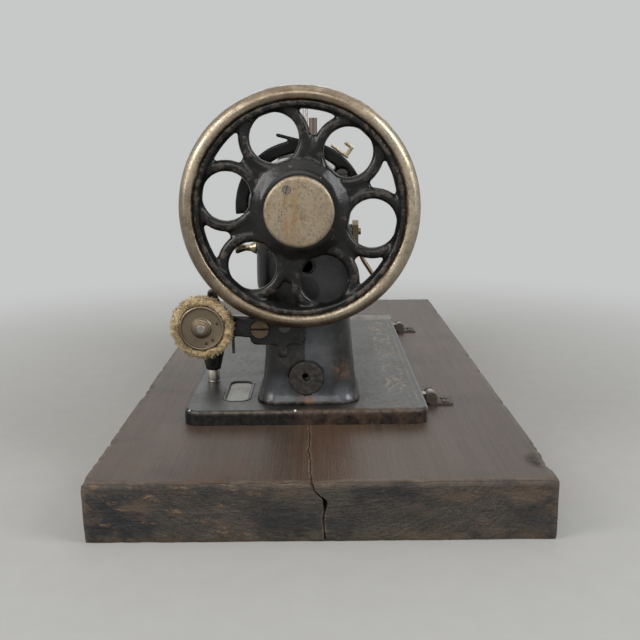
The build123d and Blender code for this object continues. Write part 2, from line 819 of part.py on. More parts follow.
def make_wheel():
    frame = end_frame(rim_x, shaft_y, shaft_z)
    bead_profile = Plane.XZ * (Pos(rim_radius - rim_depth / 2, 0) * Ellipse(rim_depth / 2, rim_width / 2))
    bead = revolve(bead_profile, Axis.Z)
    inner_edge = rim_radius - rim_depth
    ring = Circle(inner_edge - 0.5) - Circle(window_inner_radius)
    holes = []
    for index in range(spoke_hole_count):
        angle = math.radians(spoke_hole_angle + index * 360 / spoke_hole_count)
        place = Pos(spoke_hole_circle * math.cos(angle), spoke_hole_circle * math.sin(angle))
        ring -= place * Circle(spoke_hole_radius + branch_width)
        holes.append(place * Circle(spoke_hole_radius))
    windows = fillet(ring.vertices(), window_corner)
    outline = Circle(inner_edge + 4) - Circle(shaft_radius + running_gap)
    for hole in holes:
        outline -= hole
    outline -= windows
    web = Pos(0, 0, -web_thickness / 2) * extrude(outline, web_thickness)
    rims = web.edges().filter_by(lambda edge: abs(abs(edge.center().Z) - web_thickness / 2) < 0.01)
    inner_rims = rims.filter_by(
        lambda edge: shaft_radius + 2 < math.hypot(edge.center().X, edge.center().Y) < inner_edge + 0.6
        and edge.length < 2.5 * math.pi * spoke_hole_radius
    )
    web = fillet(inner_rims, web_rounding)
    nose = Pos(0, 0, web_thickness / 2 + hub_front_length / 2) * Cone(
        hub_radius, hub_nose_radius, hub_front_length
    )
    tail = Pos(0, 0, -web_thickness / 2 - hub_back_length / 2) * Cone(
        hub_back_radius, hub_radius, hub_back_length
    )
    bore = Cylinder(shaft_radius + running_gap, 60)
    wheel = bead + web + nose + tail - bore
    return frame * wheel


bushes = []


def make_drive():
    shaft_end = crank_disc_far
    shaft = bar_x(shaft_end, hub_front_face, shaft_y, shaft_z, shaft_radius)
    shaft += bar_x(hub_front_face - 1, knob_face - 5, shaft_y, shaft_z, shaft_nose_radius)
    keep("main_shaft", shaft)
    flange_end = boss_end + bush_flange
    rear = bar_x(boss_end - boss_end_wall, flange_end, shaft_y, shaft_z, shaft_radius + bush_wall)
    rear += bar_x(boss_end, flange_end, shaft_y, shaft_z, shaft_radius + bush_wall + bush_flange)
    front = bar_x(head_near - head_wall - 2, head_near + 8, shaft_y, shaft_z, shaft_radius + bush_wall)
    bores = bar_x(head_near - 60, boss_end + 9, shaft_y, shaft_z, shaft_radius + running_gap)
    bushes.extend((rear - bores, front - bores))
    keep("handwheel", make_wheel())
    washer = bar_x(hub_front_face, knob_back, shaft_y, shaft_z, washer_radius)
    washer -= bar_x(hub_front_face - 1, knob_back + 1, shaft_y, shaft_z, shaft_nose_radius + running_gap)
    keep("clutch_washer", washer)
    knob = Pos(0, 0, knob_thickness / 2) * Cylinder(knob_radius, knob_thickness)
    knob = fillet(knob.faces().sort_by(Axis.Z)[-1].edges(), knob_edge)
    knob -= Pos(0, 0, (knob_thickness - 4.5) / 2) * Cylinder(shaft_nose_radius + running_gap, knob_thickness - 4.5)
    angle = math.radians(knob_screw_angle)
    place = Pos(knob_screw_circle * math.cos(angle), knob_screw_circle * math.sin(angle), 0)
    knob -= place * Pos(0, 0, knob_thickness - 4) * Cylinder(knob_screw_radius + running_gap, 10)
    screw = place * Pos(0, 0, knob_thickness - 8.9) * Rot(0, 0, 75) * slotted_head(knob_screw_radius, 8.4, 0.8, 1.0)
    frame = end_frame(knob_back, shaft_y, shaft_z)
    keep("stop_motion_knob", frame * knob)
    keep("stop_knob_screw", frame * screw)
    disc = bar_x(crank_disc_far, crank_disc_near, shaft_y, shaft_z, crank_disc_radius)
    disc -= bar_x(crank_disc_far - 1, crank_disc_near + 1, shaft_y, shaft_z, shaft_radius)
    disc += bar_x(crank_face, crank_disc_far + 1, shaft_y, shaft_z + crank_radius, crank_pin_radius)
    keep("front_crank", disc)
    ecc_near = rod_far - open_pivot_gap
    eccentric = bar_x(ecc_near - eccentric_thickness, ecc_near, rod_y, shaft_z, eccentric_radius)
    eccentric -= bar_x(ecc_near - eccentric_thickness - 1, ecc_near + 1, shaft_y, shaft_z, shaft_radius)
    keep("pillar_eccentric", eccentric)


casting_screws = []


def make_guard():
    band = Circle(guard_outer_radius) - Circle(guard_inner_radius)
    reach = 2 * guard_outer_radius
    span = guard_end_angle - guard_start_angle
    middle = math.radians((guard_start_angle + guard_end_angle) / 2)
    start = math.radians(guard_start_angle)
    end = math.radians(guard_end_angle)
    wedge = Polygon(
        (0, 0),
        (reach * math.cos(start), reach * math.sin(start)),
        (reach * math.cos((start + middle) / 2), reach * math.sin((start + middle) / 2)),
        (reach * math.cos(middle), reach * math.sin(middle)),
        (reach * math.cos((end + middle) / 2), reach * math.sin((end + middle) / 2)),
        (reach * math.cos(end), reach * math.sin(end)),
        align=None,
    )
    section = band & wedge
    guard = end_frame(guard_x0, shaft_y, shaft_z) * extrude(section, guard_width)
    lip_y = shaft_y - 15.5
    lip_z = shaft_z + 49.5
    guard += link_x(guard_x0, guard_x1, lip_y, lip_z, shaft_y + 2, shaft_z + guard_outer_radius - 1, 2.4)
    tab = bar_x(guard_tab_x, guard_tab_x + guard_tab_thickness, guard_lug_y, guard_lug_z, guard_lug_radius)
    guard -= bar_x(guard_x0 - 1, guard_tab_x, guard_lug_y, guard_lug_z, guard_lug_radius + seat_gap)
    guard += tab
    guard -= bar_x(guard_x0 - 1, guard_x1 + 1, shaft_y, shaft_z, boss_radius + seat_gap)
    guard -= bar_x(guard_x0 - 1, guard_x1 + 1, guard_lug_y, guard_lug_z, guard_screw_shank + running_gap)
    head_room = guard_screw_head + 0.4
    guard -= bar_x(guard_tab_x + guard_tab_thickness, guard_x1 + 9, guard_lug_y, guard_lug_z, head_room)
    keep("belt_guard", guard)
    screw = slotted_head(guard_screw_head, 3.0, 0.9, 1.2) + Pos(0, 0, -5) * Cylinder(guard_screw_shank, 10.2)
    casting_screws.append(end_frame(guard_tab_x + guard_tab_thickness, guard_lug_y, guard_lug_z) * screw)
    clip_angle = math.radians(54.0)
    clip_radius = guard_outer_radius + 0.6
    clip = Pos(clip_radius * math.cos(clip_angle), clip_radius * math.sin(clip_angle), 0) * Rot(
        0, 0, math.degrees(clip_angle) - 90
    )
    foot = Pos(0, 0.6, 3) * Box(14, 1.2, 8)
    upright = Pos(5.6, 4.4, 3) * Box(1.6, 7.6, 8)
    lip = Pos(3.2, 7.6, 3) * Box(6.4, 1.4, 8)
    eye = Pos(5.6, 4.6, 3) * Rot(0, 90, 0) * Cylinder(1.3, 4)
    guide = clip * (foot + upright + lip - eye)
    keep("winder_thread_clip", end_frame(guard_x0 + 3, shaft_y, shaft_z) * guide)


def make_head_parts():
    face = head_shape() & block(
        head_far - face_plate_thickness, head_far, head_front - 9, head_back + 9, 0, 2 * shaft_z
    )
    screws = []
    for y, z in ((needle_y - 22, head_jaw + 6), (needle_y + 22, head_jaw + 6), (needle_y, head_brow + 3)):
        face -= bar_x(head_far - 9, head_far + 1, y, z, 1.5 + running_gap)
        head = Rot(0, -90, 0) * slotted_head(2.9, 1.6, 0.7, 0.8)
        shank = bar_x(head_far - face_plate_thickness, head_far - 0.1, y, z, 1.5)
        screws.append(Pos(head_far - face_plate_thickness, y, z) * head + shank)
    keep("face_plate", face)
    keep("plate_screws", *screws, *bed_screws)

    bar_low = bed_top + needle_rest_lift + needle_length - 8
    bar = bar_z(bar_low, shaft_z + needle_bar_rise, needle_x, needle_y, needle_bar_radius)
    bar -= bar_z(bar_low - 1, bar_low + 9, needle_x, needle_y, needle_radius + running_gap)
    keep("needle_bar", bar)
    tip = bed_top + needle_rest_lift
    needle = bar_z(tip + 6, tip + needle_length, needle_x, needle_y, needle_radius)
    needle += Pos(needle_x, needle_y, tip + 3.001) * Cone(0.1, needle_radius, 6)
    keep("needle", needle)
    clamp = bar_z(bar_low + 1, bar_low + 1 + needle_clamp_height, needle_x, needle_y, needle_clamp_radius)
    clamp -= bar_z(bar_low, bar_low + 20, needle_x, needle_y, needle_bar_radius + 0.02)
    clamp += bar_x(needle_x - 13, needle_x - 5.2, needle_y, bar_low + 6.5, 2.0)
    keep("needle_clamp", clamp)
    pin_z = shaft_z + crank_radius
    yoke_far = needle_x + needle_bar_radius + open_pivot_gap
    reach = crank_radius + crank_pin_radius + 1.0
    half = crank_pin_radius + yoke_rail
    yoke = block(yoke_far, yoke_far + yoke_thickness, needle_y - reach - 3, needle_y + reach + 3, pin_z - half, pin_z + half)
    yoke -= block(
        yoke_far - 1, yoke_far + yoke_thickness + 1, needle_y - reach, needle_y + reach,
        pin_z - crank_pin_radius - 0.3, pin_z + crank_pin_radius + 0.3,
    )
    hub = bar_z(pin_z - half, pin_z + half, needle_x, needle_y, needle_bar_radius + 3)
    hub += block(needle_x, yoke_far + 0.5, needle_y - 5, needle_y + 5, pin_z - half, pin_z - crank_pin_radius - 0.3)
    hub += block(needle_x, yoke_far + 0.5, needle_y - 5, needle_y + 5, pin_z + crank_pin_radius + 0.3, pin_z + half)
    hub -= block(
        yoke_far, yoke_far + yoke_thickness + 9, needle_y - reach, needle_y + reach,
        pin_z - crank_pin_radius - 0.3, pin_z + crank_pin_radius + 0.3,
    )
    yoke += hub
    yoke -= bar_z(0, 2 * shaft_z, needle_x, needle_y, needle_bar_radius + 0.02)
    keep("needle_bar_yoke", yoke)

    for x, y, radius in (
        (needle_x, needle_y, needle_bar_radius),
        (presser_x, presser_y, presser_bar_radius),
    ):
        for start, end in ((head_bottom - bush_flange, cavity_low), (head_brow, head_top + bush_flange)):
            bush = bar_z(start, end, x, y, radius + bar_bush_wall)
            bush -= bar_z(start - 1, end + 1, x, y, radius + running_gap)
            bushes.append(bush)
    keep("bushes", *bushes)

    foot_low = bed_top + presser_foot_gap
    bar_low = bed_top + presser_bar_lift
    rod = bar_z(bar_low, shaft_z + presser_bar_rise, presser_x, presser_y, presser_bar_radius)
    collar_z = lifter_z + 7
    wall_y = head_back - head_wall
    rod += bar_z(collar_z, collar_z + 6, presser_x, presser_y, presser_bar_radius + 2.4)
    rod += block(presser_x - 10, presser_x, presser_y - 3, wall_y - 0.4, collar_z, collar_z + 6)
    keep("presser_bar", rod)
    sole = block(needle_x - 7, needle_x + 7, needle_y - 16, needle_y + 8, foot_low, foot_low + presser_sole)
    sole = fillet(sole.edges().filter_by(Axis.Z), 2.5)
    sole -= block(needle_x - 1.3, needle_x + 1.3, needle_y - 20, needle_y + 3, foot_low - 1, foot_low + 9)
    shank = block(presser_x - 3, needle_x + 5, needle_y + 4, presser_y + 2, foot_low, foot_low + 5)
    shank += block(presser_x - 4.5, presser_x + 4.5, presser_y - 5, presser_y + 5, foot_low, bar_low + 13)
    shank -= bar_z(bar_low, bar_low + 30, presser_x, presser_y, presser_bar_radius + 0.02)
    shank -= bar_x(presser_x - 9, presser_x - presser_bar_radius, presser_y, bar_low + 7, 1.6)
    foot_screw = bar_x(presser_x - 7, presser_x - presser_bar_radius - 0.1, presser_y, bar_low + 7, 1.55)
    foot_screw += bar_x(presser_x - 13, presser_x - 5, presser_y, bar_low + 7, 4.0) & block(
        presser_x - 13, presser_x - 4.6, presser_y - 9, presser_y + 9, 0, 2 * shaft_z
    )
    keep("presser_foot", sole + shank, foot_screw)
    spring_low = collar_z + 6 + seat_gap
    spring_room = head_brow - seat_gap - spring_low
    rise = spring_room - 2 * presser_spring_wire
    path = Helix(rise / presser_spring_turns, rise, presser_spring_radius)
    wire = Plane(origin=path @ 0, z_dir=path % 0) * Circle(presser_spring_wire)
    spring = sweep(wire, path)
    keep("presser_spring", Pos(presser_x, presser_y, spring_low + presser_spring_wire) * spring)

    cam_y = presser_y + presser_bar_radius + 0.4
    turn = bar_y(cam_y, shaft_y + lifter_boss_reach + 9, lifter_x, lifter_z, lifter_shaft_radius)
    turn += block(lifter_x - 2, lifter_x + 6, cam_y, wall_y - seat_gap, lifter_z - 2, lifter_z + 2)
    leaf_y = shaft_y + lifter_boss_reach + seat_gap
    leaf = block(lifter_x - 6.5, lifter_x + 6.5, leaf_y, leaf_y + 6, lifter_z - 15, lifter_z + 12)
    leaf = fillet(leaf.edges().filter_by(Axis.Y), 5.5)
    route = FilletPolyline(
        (lifter_x, leaf_y + 4, lifter_z - 12),
        (lifter_x, leaf_y + 11, lifter_z - 30),
        (lifter_x, leaf_y + 26, lifter_z - 53),
        radius=22.0,
    )
    grip = sweep(Plane(origin=route @ 0, z_dir=route % 0) * Circle(2.3), route)
    tip_ball = Pos(*(route @ 1)) * Sphere(3.0)
    keep("presser_lifter", turn + leaf + grip + tip_ball)


def make_take_up():
    angle = math.radians(take_up_angle)
    eye_y = take_up_pivot_y + take_up_reach * math.cos(angle)
    eye_z = take_up_pivot_z + take_up_reach * math.sin(angle)
    x0 = take_up_x - take_up_thickness / 2
    x1 = take_up_x + take_up_thickness / 2
    lever = link_x(x0, x1, take_up_pivot_y, take_up_pivot_z, eye_y, eye_z, take_up_width)
    lever -= bar_x(x0 - 1, x1 + 1, eye_y, eye_z, 1.2)
    tail_angle = angle - math.radians(72)
    tail_y = take_up_pivot_y + 19 * math.cos(tail_angle)
    tail_z = take_up_pivot_z + 19 * math.sin(tail_angle)
    lever += link_x(x0, x1, take_up_pivot_y, take_up_pivot_z, tail_y, tail_z, take_up_width)
    lever += bar_x(crank_disc_near + open_pivot_gap, x0 + 1, tail_y, tail_z, 3.0)
    lever -= bar_x(x0 - 1, x1 + 1, take_up_pivot_y, take_up_pivot_z, take_up_pin_radius + running_gap)
    keep("take_up_lever", lever)
    return bar_x(x0 - 1.5, take_up_pin_end, take_up_pivot_y, take_up_pivot_z, take_up_pin_radius)


def make_tension():
    face = head_front
    stud = bar_y(face - tension_stud_length, face + head_wall, tension_x, tension_z, tension_stud_radius)
    keep("tension_stud", stud)
    discs = []
    for index in range(2):
        near = face - 1.0 - index * (tension_disc_thickness + 0.3)
        disc = bar_y(near - tension_disc_thickness, near, tension_x, tension_z, tension_disc_radius)
        disc -= bar_y(near - 9, near + 9, tension_x, tension_z, tension_stud_radius + running_gap)
        discs.append(disc)
    base = bar_y(face - 0.7, face + 0.6, tension_x, tension_z, 5.0)
    base -= bar_y(face - 9, face + 9, tension_x, tension_z, tension_stud_radius + running_gap)
    discs.append(base - nodes["arm_casting"])
    keep("tension_discs", *discs)
    spring_end = face - 1.0 - 2 * (tension_disc_thickness + 0.3) - 0.4
    path = Helix(2.2, 8.8, 4.6, cone_angle=-12)
    wire = Plane(origin=path @ 0, z_dir=path % 0) * Circle(0.6)
    spring = Pos(tension_x, spring_end - 9.6, tension_z) * Rot(-90, 0, 0) * sweep(wire, path)
    keep("tension_spring", spring)
    nut_end = spring_end - 10.6
    nut = bar_y(nut_end - 8, nut_end, tension_x, tension_z, 6.5)
    nut -= bar_y(nut_end - 9, nut_end + 1, tension_x, tension_z, tension_stud_radius + running_gap)
    keep("tension_thumb_nut", nut)


def make_winder():
    pad = pillar_near - pillar_lean
    bracket_face = rim_x - rim_width / 2 - winder_arm_to_rim - winder_arm_thickness - seat_gap
    bracket_start = pad - arm_wall / 2
    bracket = block(
        bracket_start, bracket_face, winder_pivot_y - 8, winder_pivot_y + 32,
        winder_pivot_z - 14, winder_pivot_z + 6.5,
    )
    bracket = fillet(bracket.edges().filter_by(Axis.X), 5.0)
    bracket += link_x(
        bracket_start, bracket_face, winder_pivot_y + 15, winder_pivot_z - 10,
        winder_pivot_y + 15, winder_pivot_z - 20, 7.0,
    )
    bracket -= nodes["arm_casting"]
    bracket = max(bracket.solids(), key=lambda solid: solid.volume)
    screw_y = winder_pivot_y + bracket_screw_behind_pivot
    screw_bore = bracket_screw_radius + running_gap
    bracket -= bar_x(pad - 20, bracket_face + 1, winder_pivot_y, winder_pivot_z, winder_pivot_radius)
    bracket -= bar_x(pad - 20, bracket_face + 1, screw_y, winder_pivot_z, screw_bore)
    keep("winder_bracket", bracket)
    fix = bar_x(pillar_near - 11, bracket_face + 0.5, screw_y, winder_pivot_z, bracket_screw_radius)
    fix_head = end_frame(bracket_face, screw_y, winder_pivot_z) * slotted_head(bracket_screw_head, 2.2, 0.9, 1.0)
    casting_screws.append(fix + fix_head)
    keep("casting_screws", *casting_screws)
    arm_far = bracket_face + seat_gap
    arm_near = arm_far + winder_arm_thickness
    pivot = bar_x(pad - 1, arm_near + 0.3, winder_pivot_y, winder_pivot_z, winder_pivot_radius)
    pivot_head = end_frame(arm_near + 0.25, winder_pivot_y, winder_pivot_z) * slotted_head(
        winder_screw_radius, 3.2, 1.3, 1.4
    )
    keep("winder_pivot_screw", pivot + pivot_head)
    arm = link_x(arm_far, arm_near, winder_pivot_y, winder_pivot_z, winder_y, winder_z, winder_arm_width)
    arm += bar_x(arm_near - 30, arm_near + 1.5, winder_y, winder_z, winder_hub_radius)
    arm += link_x(
        arm_far, arm_near - 1.5, winder_y + 12, winder_z + 4, winder_y + 5.5, winder_z + 21.0, 6.0
    )
    arm += bar_z(winder_pivot_z - 18.5, winder_pivot_z - 3, arm_near - 1.6, winder_pivot_y - 19.5, 1.3)
    arm -= bar_x(arm_far - 30, arm_near + 9, winder_pivot_y, winder_pivot_z, winder_pivot_radius + running_gap)
    arm -= bar_x(arm_far - 60, arm_near + 9, winder_y, winder_z, spindle_radius + running_gap)
    keep("winder_arm", arm)
    pulley_far = rim_x - pulley_width / 2
    pulley_near = rim_x + pulley_width / 2
    spindle = bar_x(pulley_near + 3 - spindle_length, pulley_near + 3, winder_y, winder_z, spindle_radius)
    keep("winder_spindle", spindle)
    pulley = Pos(0, 0, pulley_width / 2) * Cylinder(pulley_radius, pulley_width)
    pulley -= Pos(0, 0, pulley_width - 0.9) * (Cylinder(pulley_radius - 1.6, 2.0) - Cylinder(5.2, 2.0))
    for y, z in ((11.0, 3.0), (3.1, -11.4), (7.2, -10.2)):
        pulley -= Pos(y, z, 5) * Cylinder(1.1, 30)
    pulley -= Cylinder(spindle_radius + 0.02, 60)
    keep("winder_pulley", end_frame(pulley_far, winder_y, winder_z) * pulley)
    tyre = Pos(0, 0, pulley_width / 2) * (
        Cylinder(tyre_outer_radius, pulley_width) - Cylinder(pulley_radius + 0.05, pulley_width + 2)
    )
    outer_edges = tyre.edges().filter_by(lambda edge: abs(edge.length - 2 * math.pi * tyre_outer_radius) < 0.1)
    tyre = fillet(outer_edges, 2.5)
    keep("winder_tyre", end_frame(pulley_far, winder_y, winder_z) * tyre)


def make_trim():
    cover_start = pillar_near - pillar_lean - arm_wall / 2
    low_y = shaft_y + lower_cover_back
    low_z = bed_top + lower_cover_height
    cover = bar_x(cover_start, pillar_near + lower_cover_proud, low_y, low_z, lower_cover_radius)
    cover -= bar_x(cover_start - 1, pillar_near + 9, low_y, low_z, lower_cover_hole)
    cover -= nodes["arm_casting"]
    high_z = shaft_z - upper_cover_drop
    cap_end = pillar_near - pillar_lean + upper_cover_proud
    cap = bar_x(cover_start, cap_end, shaft_y + upper_cover_back, high_z, upper_cover_radius)
    cap -= bar_x(cover_start - 1, cap_end + 1, shaft_y + upper_hole_back, high_z + upper_hole_rise, upper_hole_radius)
    cap -= nodes["arm_casting"]
    largest = [max(piece.solids(), key=lambda solid: solid.volume) for piece in (cover, cap)]
    keep("pillar_covers", *largest)
    spool = bar_z(spool_pin_foot, spool_pin_base, spool_pin_x, spool_pin_y, spool_pin_neck)
    spool += bar_z(spool_pin_base, shaft_z + spool_pin_rise, spool_pin_x, spool_pin_y, spool_pin_radius)
    keep("spool_pin", spool)
    wall_y = shaft_y - arm_half_width
    profile = Plane.XY * make_face(
        Polyline(
            (0, 0), (4.9, 0), (4.2, 1.8), (2.6, 4.5), (2.3, 8.0), (3.4, 11.5), (4.4, 14.0), (4.0, 15.5), (0, 15.5), (0, 0)
        )
    )
    knob = revolve(profile, Axis.Y)
    knob = Pos(stitch_x, wall_y - seat_gap, stitch_z) * Rot(180, 0, 0) * knob
    knob -= bar_y(wall_y - 9, wall_y + 9, stitch_x, stitch_z, stitch_stud_radius)
    stud = bar_y(wall_y - 9, wall_y + 12, stitch_x, stitch_z, stitch_stud_radius)
    stud += block(stitch_x - 7, stitch_x + 7, wall_y + 9, wall_y + 12, stitch_z - 7, stitch_z + 5)
    keep("stitch_regulator", knob, stud)
    post = bar_z(bed_top, bed_top + post_height, post_x, post_y, post_radius)
    post += bar_z(bed_under + 0.2, bed_top + 1, post_x, post_y, post_radius - 1.55)
    post += bar_z(bed_top, bed_top + post_pin_height, post_x, post_y, post_pin_radius)
    keep("winding_post", post)
    cup = Pos(post_x, post_y, bed_top + post_height + cup_height / 2) * Cone(
        cup_bottom_radius, cup_top_radius, cup_height
    )
    cup -= bar_z(bed_top, bed_top + 60, post_x, post_y, post_pin_radius + 0.02)
    keep("winding_cup", cup)
    bolts = []
    for x, y in arm_bolt_places:
        bolt = bar_z(bed_under - arm_bolt_head_height, bed_under, x, y, arm_bolt_head)
        bolt += bar_z(bed_under - 1, bed_top + arm_bolt_reach, x, y, arm_bolt_radius)
        bolts.append(bolt)
    keep("arm_bolts", *bolts)


def make_underside():
    strap_outer = eccentric_radius + 0.3 + rod_strap_wall
    rod = bar_x(rod_far, rod_near, rod_y, shaft_z, strap_outer)
    rod += block(rod_far, rod_near, rod_y - rod_width / 2, rod_y + rod_width / 2, rod_pin_z,
                 shaft_z - eccentric_radius - 2)
    rod += bar_x(rod_far, rod_near, rod_y, rod_pin_z, rod_eye_radius)
    rod -= bar_x(rod_far - 1, rod_near + 1, rod_y, shaft_z, eccentric_radius + 0.3)
    rod -= bar_x(rod_far - 1, rod_near + 1, rod_y, rod_pin_z, rod_pin_radius + running_gap)
    keep("pillar_rod", rod)
    arm_near = rod_far - open_pivot_gap
    rock = bar_x(lever_x + 14, rod_far - 1, rock_y, rock_z, rock_shaft_radius)
    rock += link_x(arm_near - 5, arm_near, rock_y, rock_z, rod_y, rod_pin_z, 11.0)
    rock += bar_x(arm_near - 1, rod_near + 1.5, rod_y, rod_pin_z, rod_pin_radius)
    ball_angle = math.radians(lever_angle)
    ball_x = lever_x + lever_tail * math.cos(ball_angle)
    rock += bar_z(rock_z, rock_z + rock_ball_rise, ball_x, rock_y, 2.6)
    rock += Pos(ball_x, rock_y, rock_z + rock_ball_rise) * Sphere(rock_ball_radius)
    rock += bar_x(ball_x - 4, lever_x + 20, rock_y, rock_z, rock_shaft_radius)
    keep("rock_shaft", rock)

    turn = Pos(lever_x, lever_y, 0) * Rot(0, 0, lever_angle)
    lever = block(-shuttle_arc + 4, 6, -lever_width / 2, lever_width / 2, lever_bottom, lever_top)
    lever += bar_z(lever_bottom, lever_top, 0, 0, lever_stud_radius + 5)
    lever += block(-4, lever_tail + 6, -9, 9, lever_bottom, lever_top)
    lever += block(lever_tail - 5, lever_tail + 6, -9, 9, lever_bottom, rock_z + rock_ball_rise + 3)
    lever -= block(lever_tail - 6, lever_tail + 9, -rock_ball_radius - 0.6, rock_ball_radius + 0.6, 0, 60)
    lever -= bar_z(0, 60, 0, 0, lever_stud_radius + running_gap)
    keep("shuttle_lever", turn * lever)
    stud = bar_z(lever_bottom - 1, bed_top - 2.5, lever_x, lever_y, lever_stud_radius)
    stud += bar_z(lever_bottom - 4, lever_bottom - 0.3, lever_x, lever_y, lever_stud_radius + 3)
    keep("pivot_studs", take_up_pin, stud)
    half = shuttle_length / 2
    floor = lever_top
    carrier = block(-shuttle_arc - 6, -shuttle_arc + 6, -half - 3, half + 3, floor, floor + carrier_floor)
    for side in (-1, 1):
        edge = side * (half + 0.8)
        carrier += block(
            -shuttle_arc - 4, -shuttle_arc + 4, min(edge, edge + side * 2.2), max(edge, edge + side * 2.2),
            floor, shuttle_z,
        )
    keep("shuttle_carrier", turn * carrier)
    body = Pos(0, 0, -half + 6) * Cone(0.9, shuttle_radius, 12)
    body += Pos(0, 0, (half - 3 + (-half + 12)) / 2) * Cylinder(shuttle_radius, shuttle_length - 15)
    body += Pos(0, 0, half - 1.5) * Cone(shuttle_radius, shuttle_radius - 1.6, 3)
    room = Pos(0, 0, 3.5) * Cylinder(shuttle_radius - shuttle_wall, shuttle_length - 13)
    mouth = Pos(0, shuttle_radius / 2 + 2, 3.5) * Box(2 * (shuttle_radius - shuttle_wall) - 1.4, shuttle_radius, shuttle_length - 15)
    body = body - room - mouth
    lay = Pos(-shuttle_arc, 0, shuttle_z) * Rot(90, 0, 0)
    keep("shuttle", turn * (lay * body))
    bobbin_length = shuttle_length - 15
    bobbin = Cylinder(1.3, bobbin_length)
    for side in (-1, 1):
        bobbin += Pos(0, 0, side * (bobbin_length / 2 - 0.5)) * Cylinder(shuttle_radius - shuttle_wall - 0.3, 1.0)
    keep("shuttle_bobbin", turn * (lay * (Pos(0, 0, 3.5) * bobbin)))
    inner = shuttle_arc + shuttle_radius + race_gap
    race = Circle(inner + race_wall) - Circle(inner)
    far = 2 * inner
    side = far * math.tan(math.radians(race_half_angle))
    race = race & Polygon((0, 0), (-far, side), (-far, -side), align=None)
    keep("shuttle_race", turn * (Pos(0, 0, lever_top + 2) * extrude(race, bed_under - lever_top - 2)))

    feed_low = bed_top - feed_bar_depth
    bar_far = needle_x + 3.5
    bar = block(bar_far, bar_far + feed_bar_length, needle_y - feed_bar_width / 2,
                needle_y + feed_bar_width / 2, feed_low, feed_low + feed_bar_height)
    keep("feed_bar", bar)
    dog_low = feed_low + feed_bar_height
    dog = block(
        needle_x - 6, bar_far + 12, needle_y - feed_dog_length / 2 - 1, needle_y + feed_dog_length / 2 + 1,
        dog_low, dog_low + 2,
    )
    for side in (-1, 1):
        for index in range(5):
            tooth_y = needle_y - feed_dog_length / 2 + (index + 0.5) * feed_dog_length / 5
            base = block(
                needle_x + side * 4 - 1.4, needle_x + side * 4 + 1.4,
                tooth_y - feed_dog_length / 10, tooth_y + feed_dog_length / 10, dog_low + 1, bed_top - 0.4,
            )
            dog += base
            ridge = extrude(
                Plane.YZ * Polygon(
                    (tooth_y - 1.4, bed_top - 0.4), (tooth_y + 1.4, bed_top - 0.4), (tooth_y, bed_top + 0.3), align=None
                ),
                2.8,
            )
            dog += Pos(needle_x + side * 4 - 1.4, 0, 0) * ridge
    dog -= block(needle_x - 2, needle_x + 2, needle_y - 4, needle_y + 4, dog_low - 1, dog_low + 3)
    keep("feed_dog", dog)
    rock = bar_x(feed_lugs[0] - 18, feed_lugs[1] + 22, feed_y, feed_z, feed_shaft_radius)
    for x in (feed_lugs[0] - 16, feed_lugs[1] + 14):
        rock += block(
            x, x + feed_arm_width, needle_y - feed_bar_width / 2 - 1, feed_y,
            feed_low - seat_gap - feed_arm_thickness, feed_low - seat_gap,
        )
    keep("feed_rock_shaft", rock)


keep("base_board", make_plank())
hinge_screw_solids = make_hinges()
for screw in hinge_screw_solids:
    nodes["base_board"] -= screw
keep("arm_casting", make_arm())
bed_screws = make_bed_plates()
keep("bed_plate", make_bed())
keep("bed_underframe", *make_underframe())
make_drive()
make_guard()
make_head_parts()
take_up_pin = make_take_up()
make_tension()
make_winder()
make_trim()
make_underside()

os.makedirs("parts", exist_ok=True)
for name, shape in nodes.items():
    export_step(shape, f"parts/{name}.step")
print(len(nodes), "pieces")
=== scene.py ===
"""Dresses an antique sewing machine head that stands on a thick plank."""
import functools
import json
import math

import bmesh
import bpy
import numpy as np
from mathutils import Matrix, Vector

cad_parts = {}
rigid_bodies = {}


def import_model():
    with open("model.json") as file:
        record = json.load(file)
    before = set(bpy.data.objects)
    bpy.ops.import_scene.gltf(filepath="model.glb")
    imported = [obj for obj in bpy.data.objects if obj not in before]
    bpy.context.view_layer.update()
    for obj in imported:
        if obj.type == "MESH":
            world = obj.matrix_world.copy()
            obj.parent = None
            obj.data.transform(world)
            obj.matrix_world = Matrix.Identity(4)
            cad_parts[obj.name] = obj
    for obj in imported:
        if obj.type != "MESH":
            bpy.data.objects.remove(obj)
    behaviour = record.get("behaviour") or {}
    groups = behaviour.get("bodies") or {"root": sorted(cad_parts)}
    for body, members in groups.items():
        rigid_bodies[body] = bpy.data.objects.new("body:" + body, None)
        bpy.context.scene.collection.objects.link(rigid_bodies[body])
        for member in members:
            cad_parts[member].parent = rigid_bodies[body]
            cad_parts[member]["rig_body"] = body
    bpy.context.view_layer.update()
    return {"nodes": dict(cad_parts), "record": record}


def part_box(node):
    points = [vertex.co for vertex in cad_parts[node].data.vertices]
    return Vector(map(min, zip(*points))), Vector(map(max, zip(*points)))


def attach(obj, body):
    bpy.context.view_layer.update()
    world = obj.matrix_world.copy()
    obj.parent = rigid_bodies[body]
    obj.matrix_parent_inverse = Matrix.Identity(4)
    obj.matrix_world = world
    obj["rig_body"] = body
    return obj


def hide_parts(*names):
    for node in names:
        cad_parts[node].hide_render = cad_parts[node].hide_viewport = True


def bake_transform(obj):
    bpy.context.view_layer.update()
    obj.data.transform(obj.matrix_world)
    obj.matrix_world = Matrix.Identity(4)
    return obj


bl_info = {
    "name": "Antique sewing machine head",
    "version": (1, 0, 0),
    "blender": (4, 5, 0),
    "location": "View3D > Sidebar > Machine",
    "description": "Builds the finish of an old sewing machine head on a plank base",
    "category": "Object",
}

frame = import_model()

MM = 0.001
# Points of a solid that lie closer than this are one.
WELD = 0.01 * MM


def middle_of(node):
    """Middle of a frame node's box."""
    low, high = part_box(node)
    return (low + high) / 2


def span_of(node):
    """Size of a frame node's box."""
    low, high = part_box(node)
    return high - low


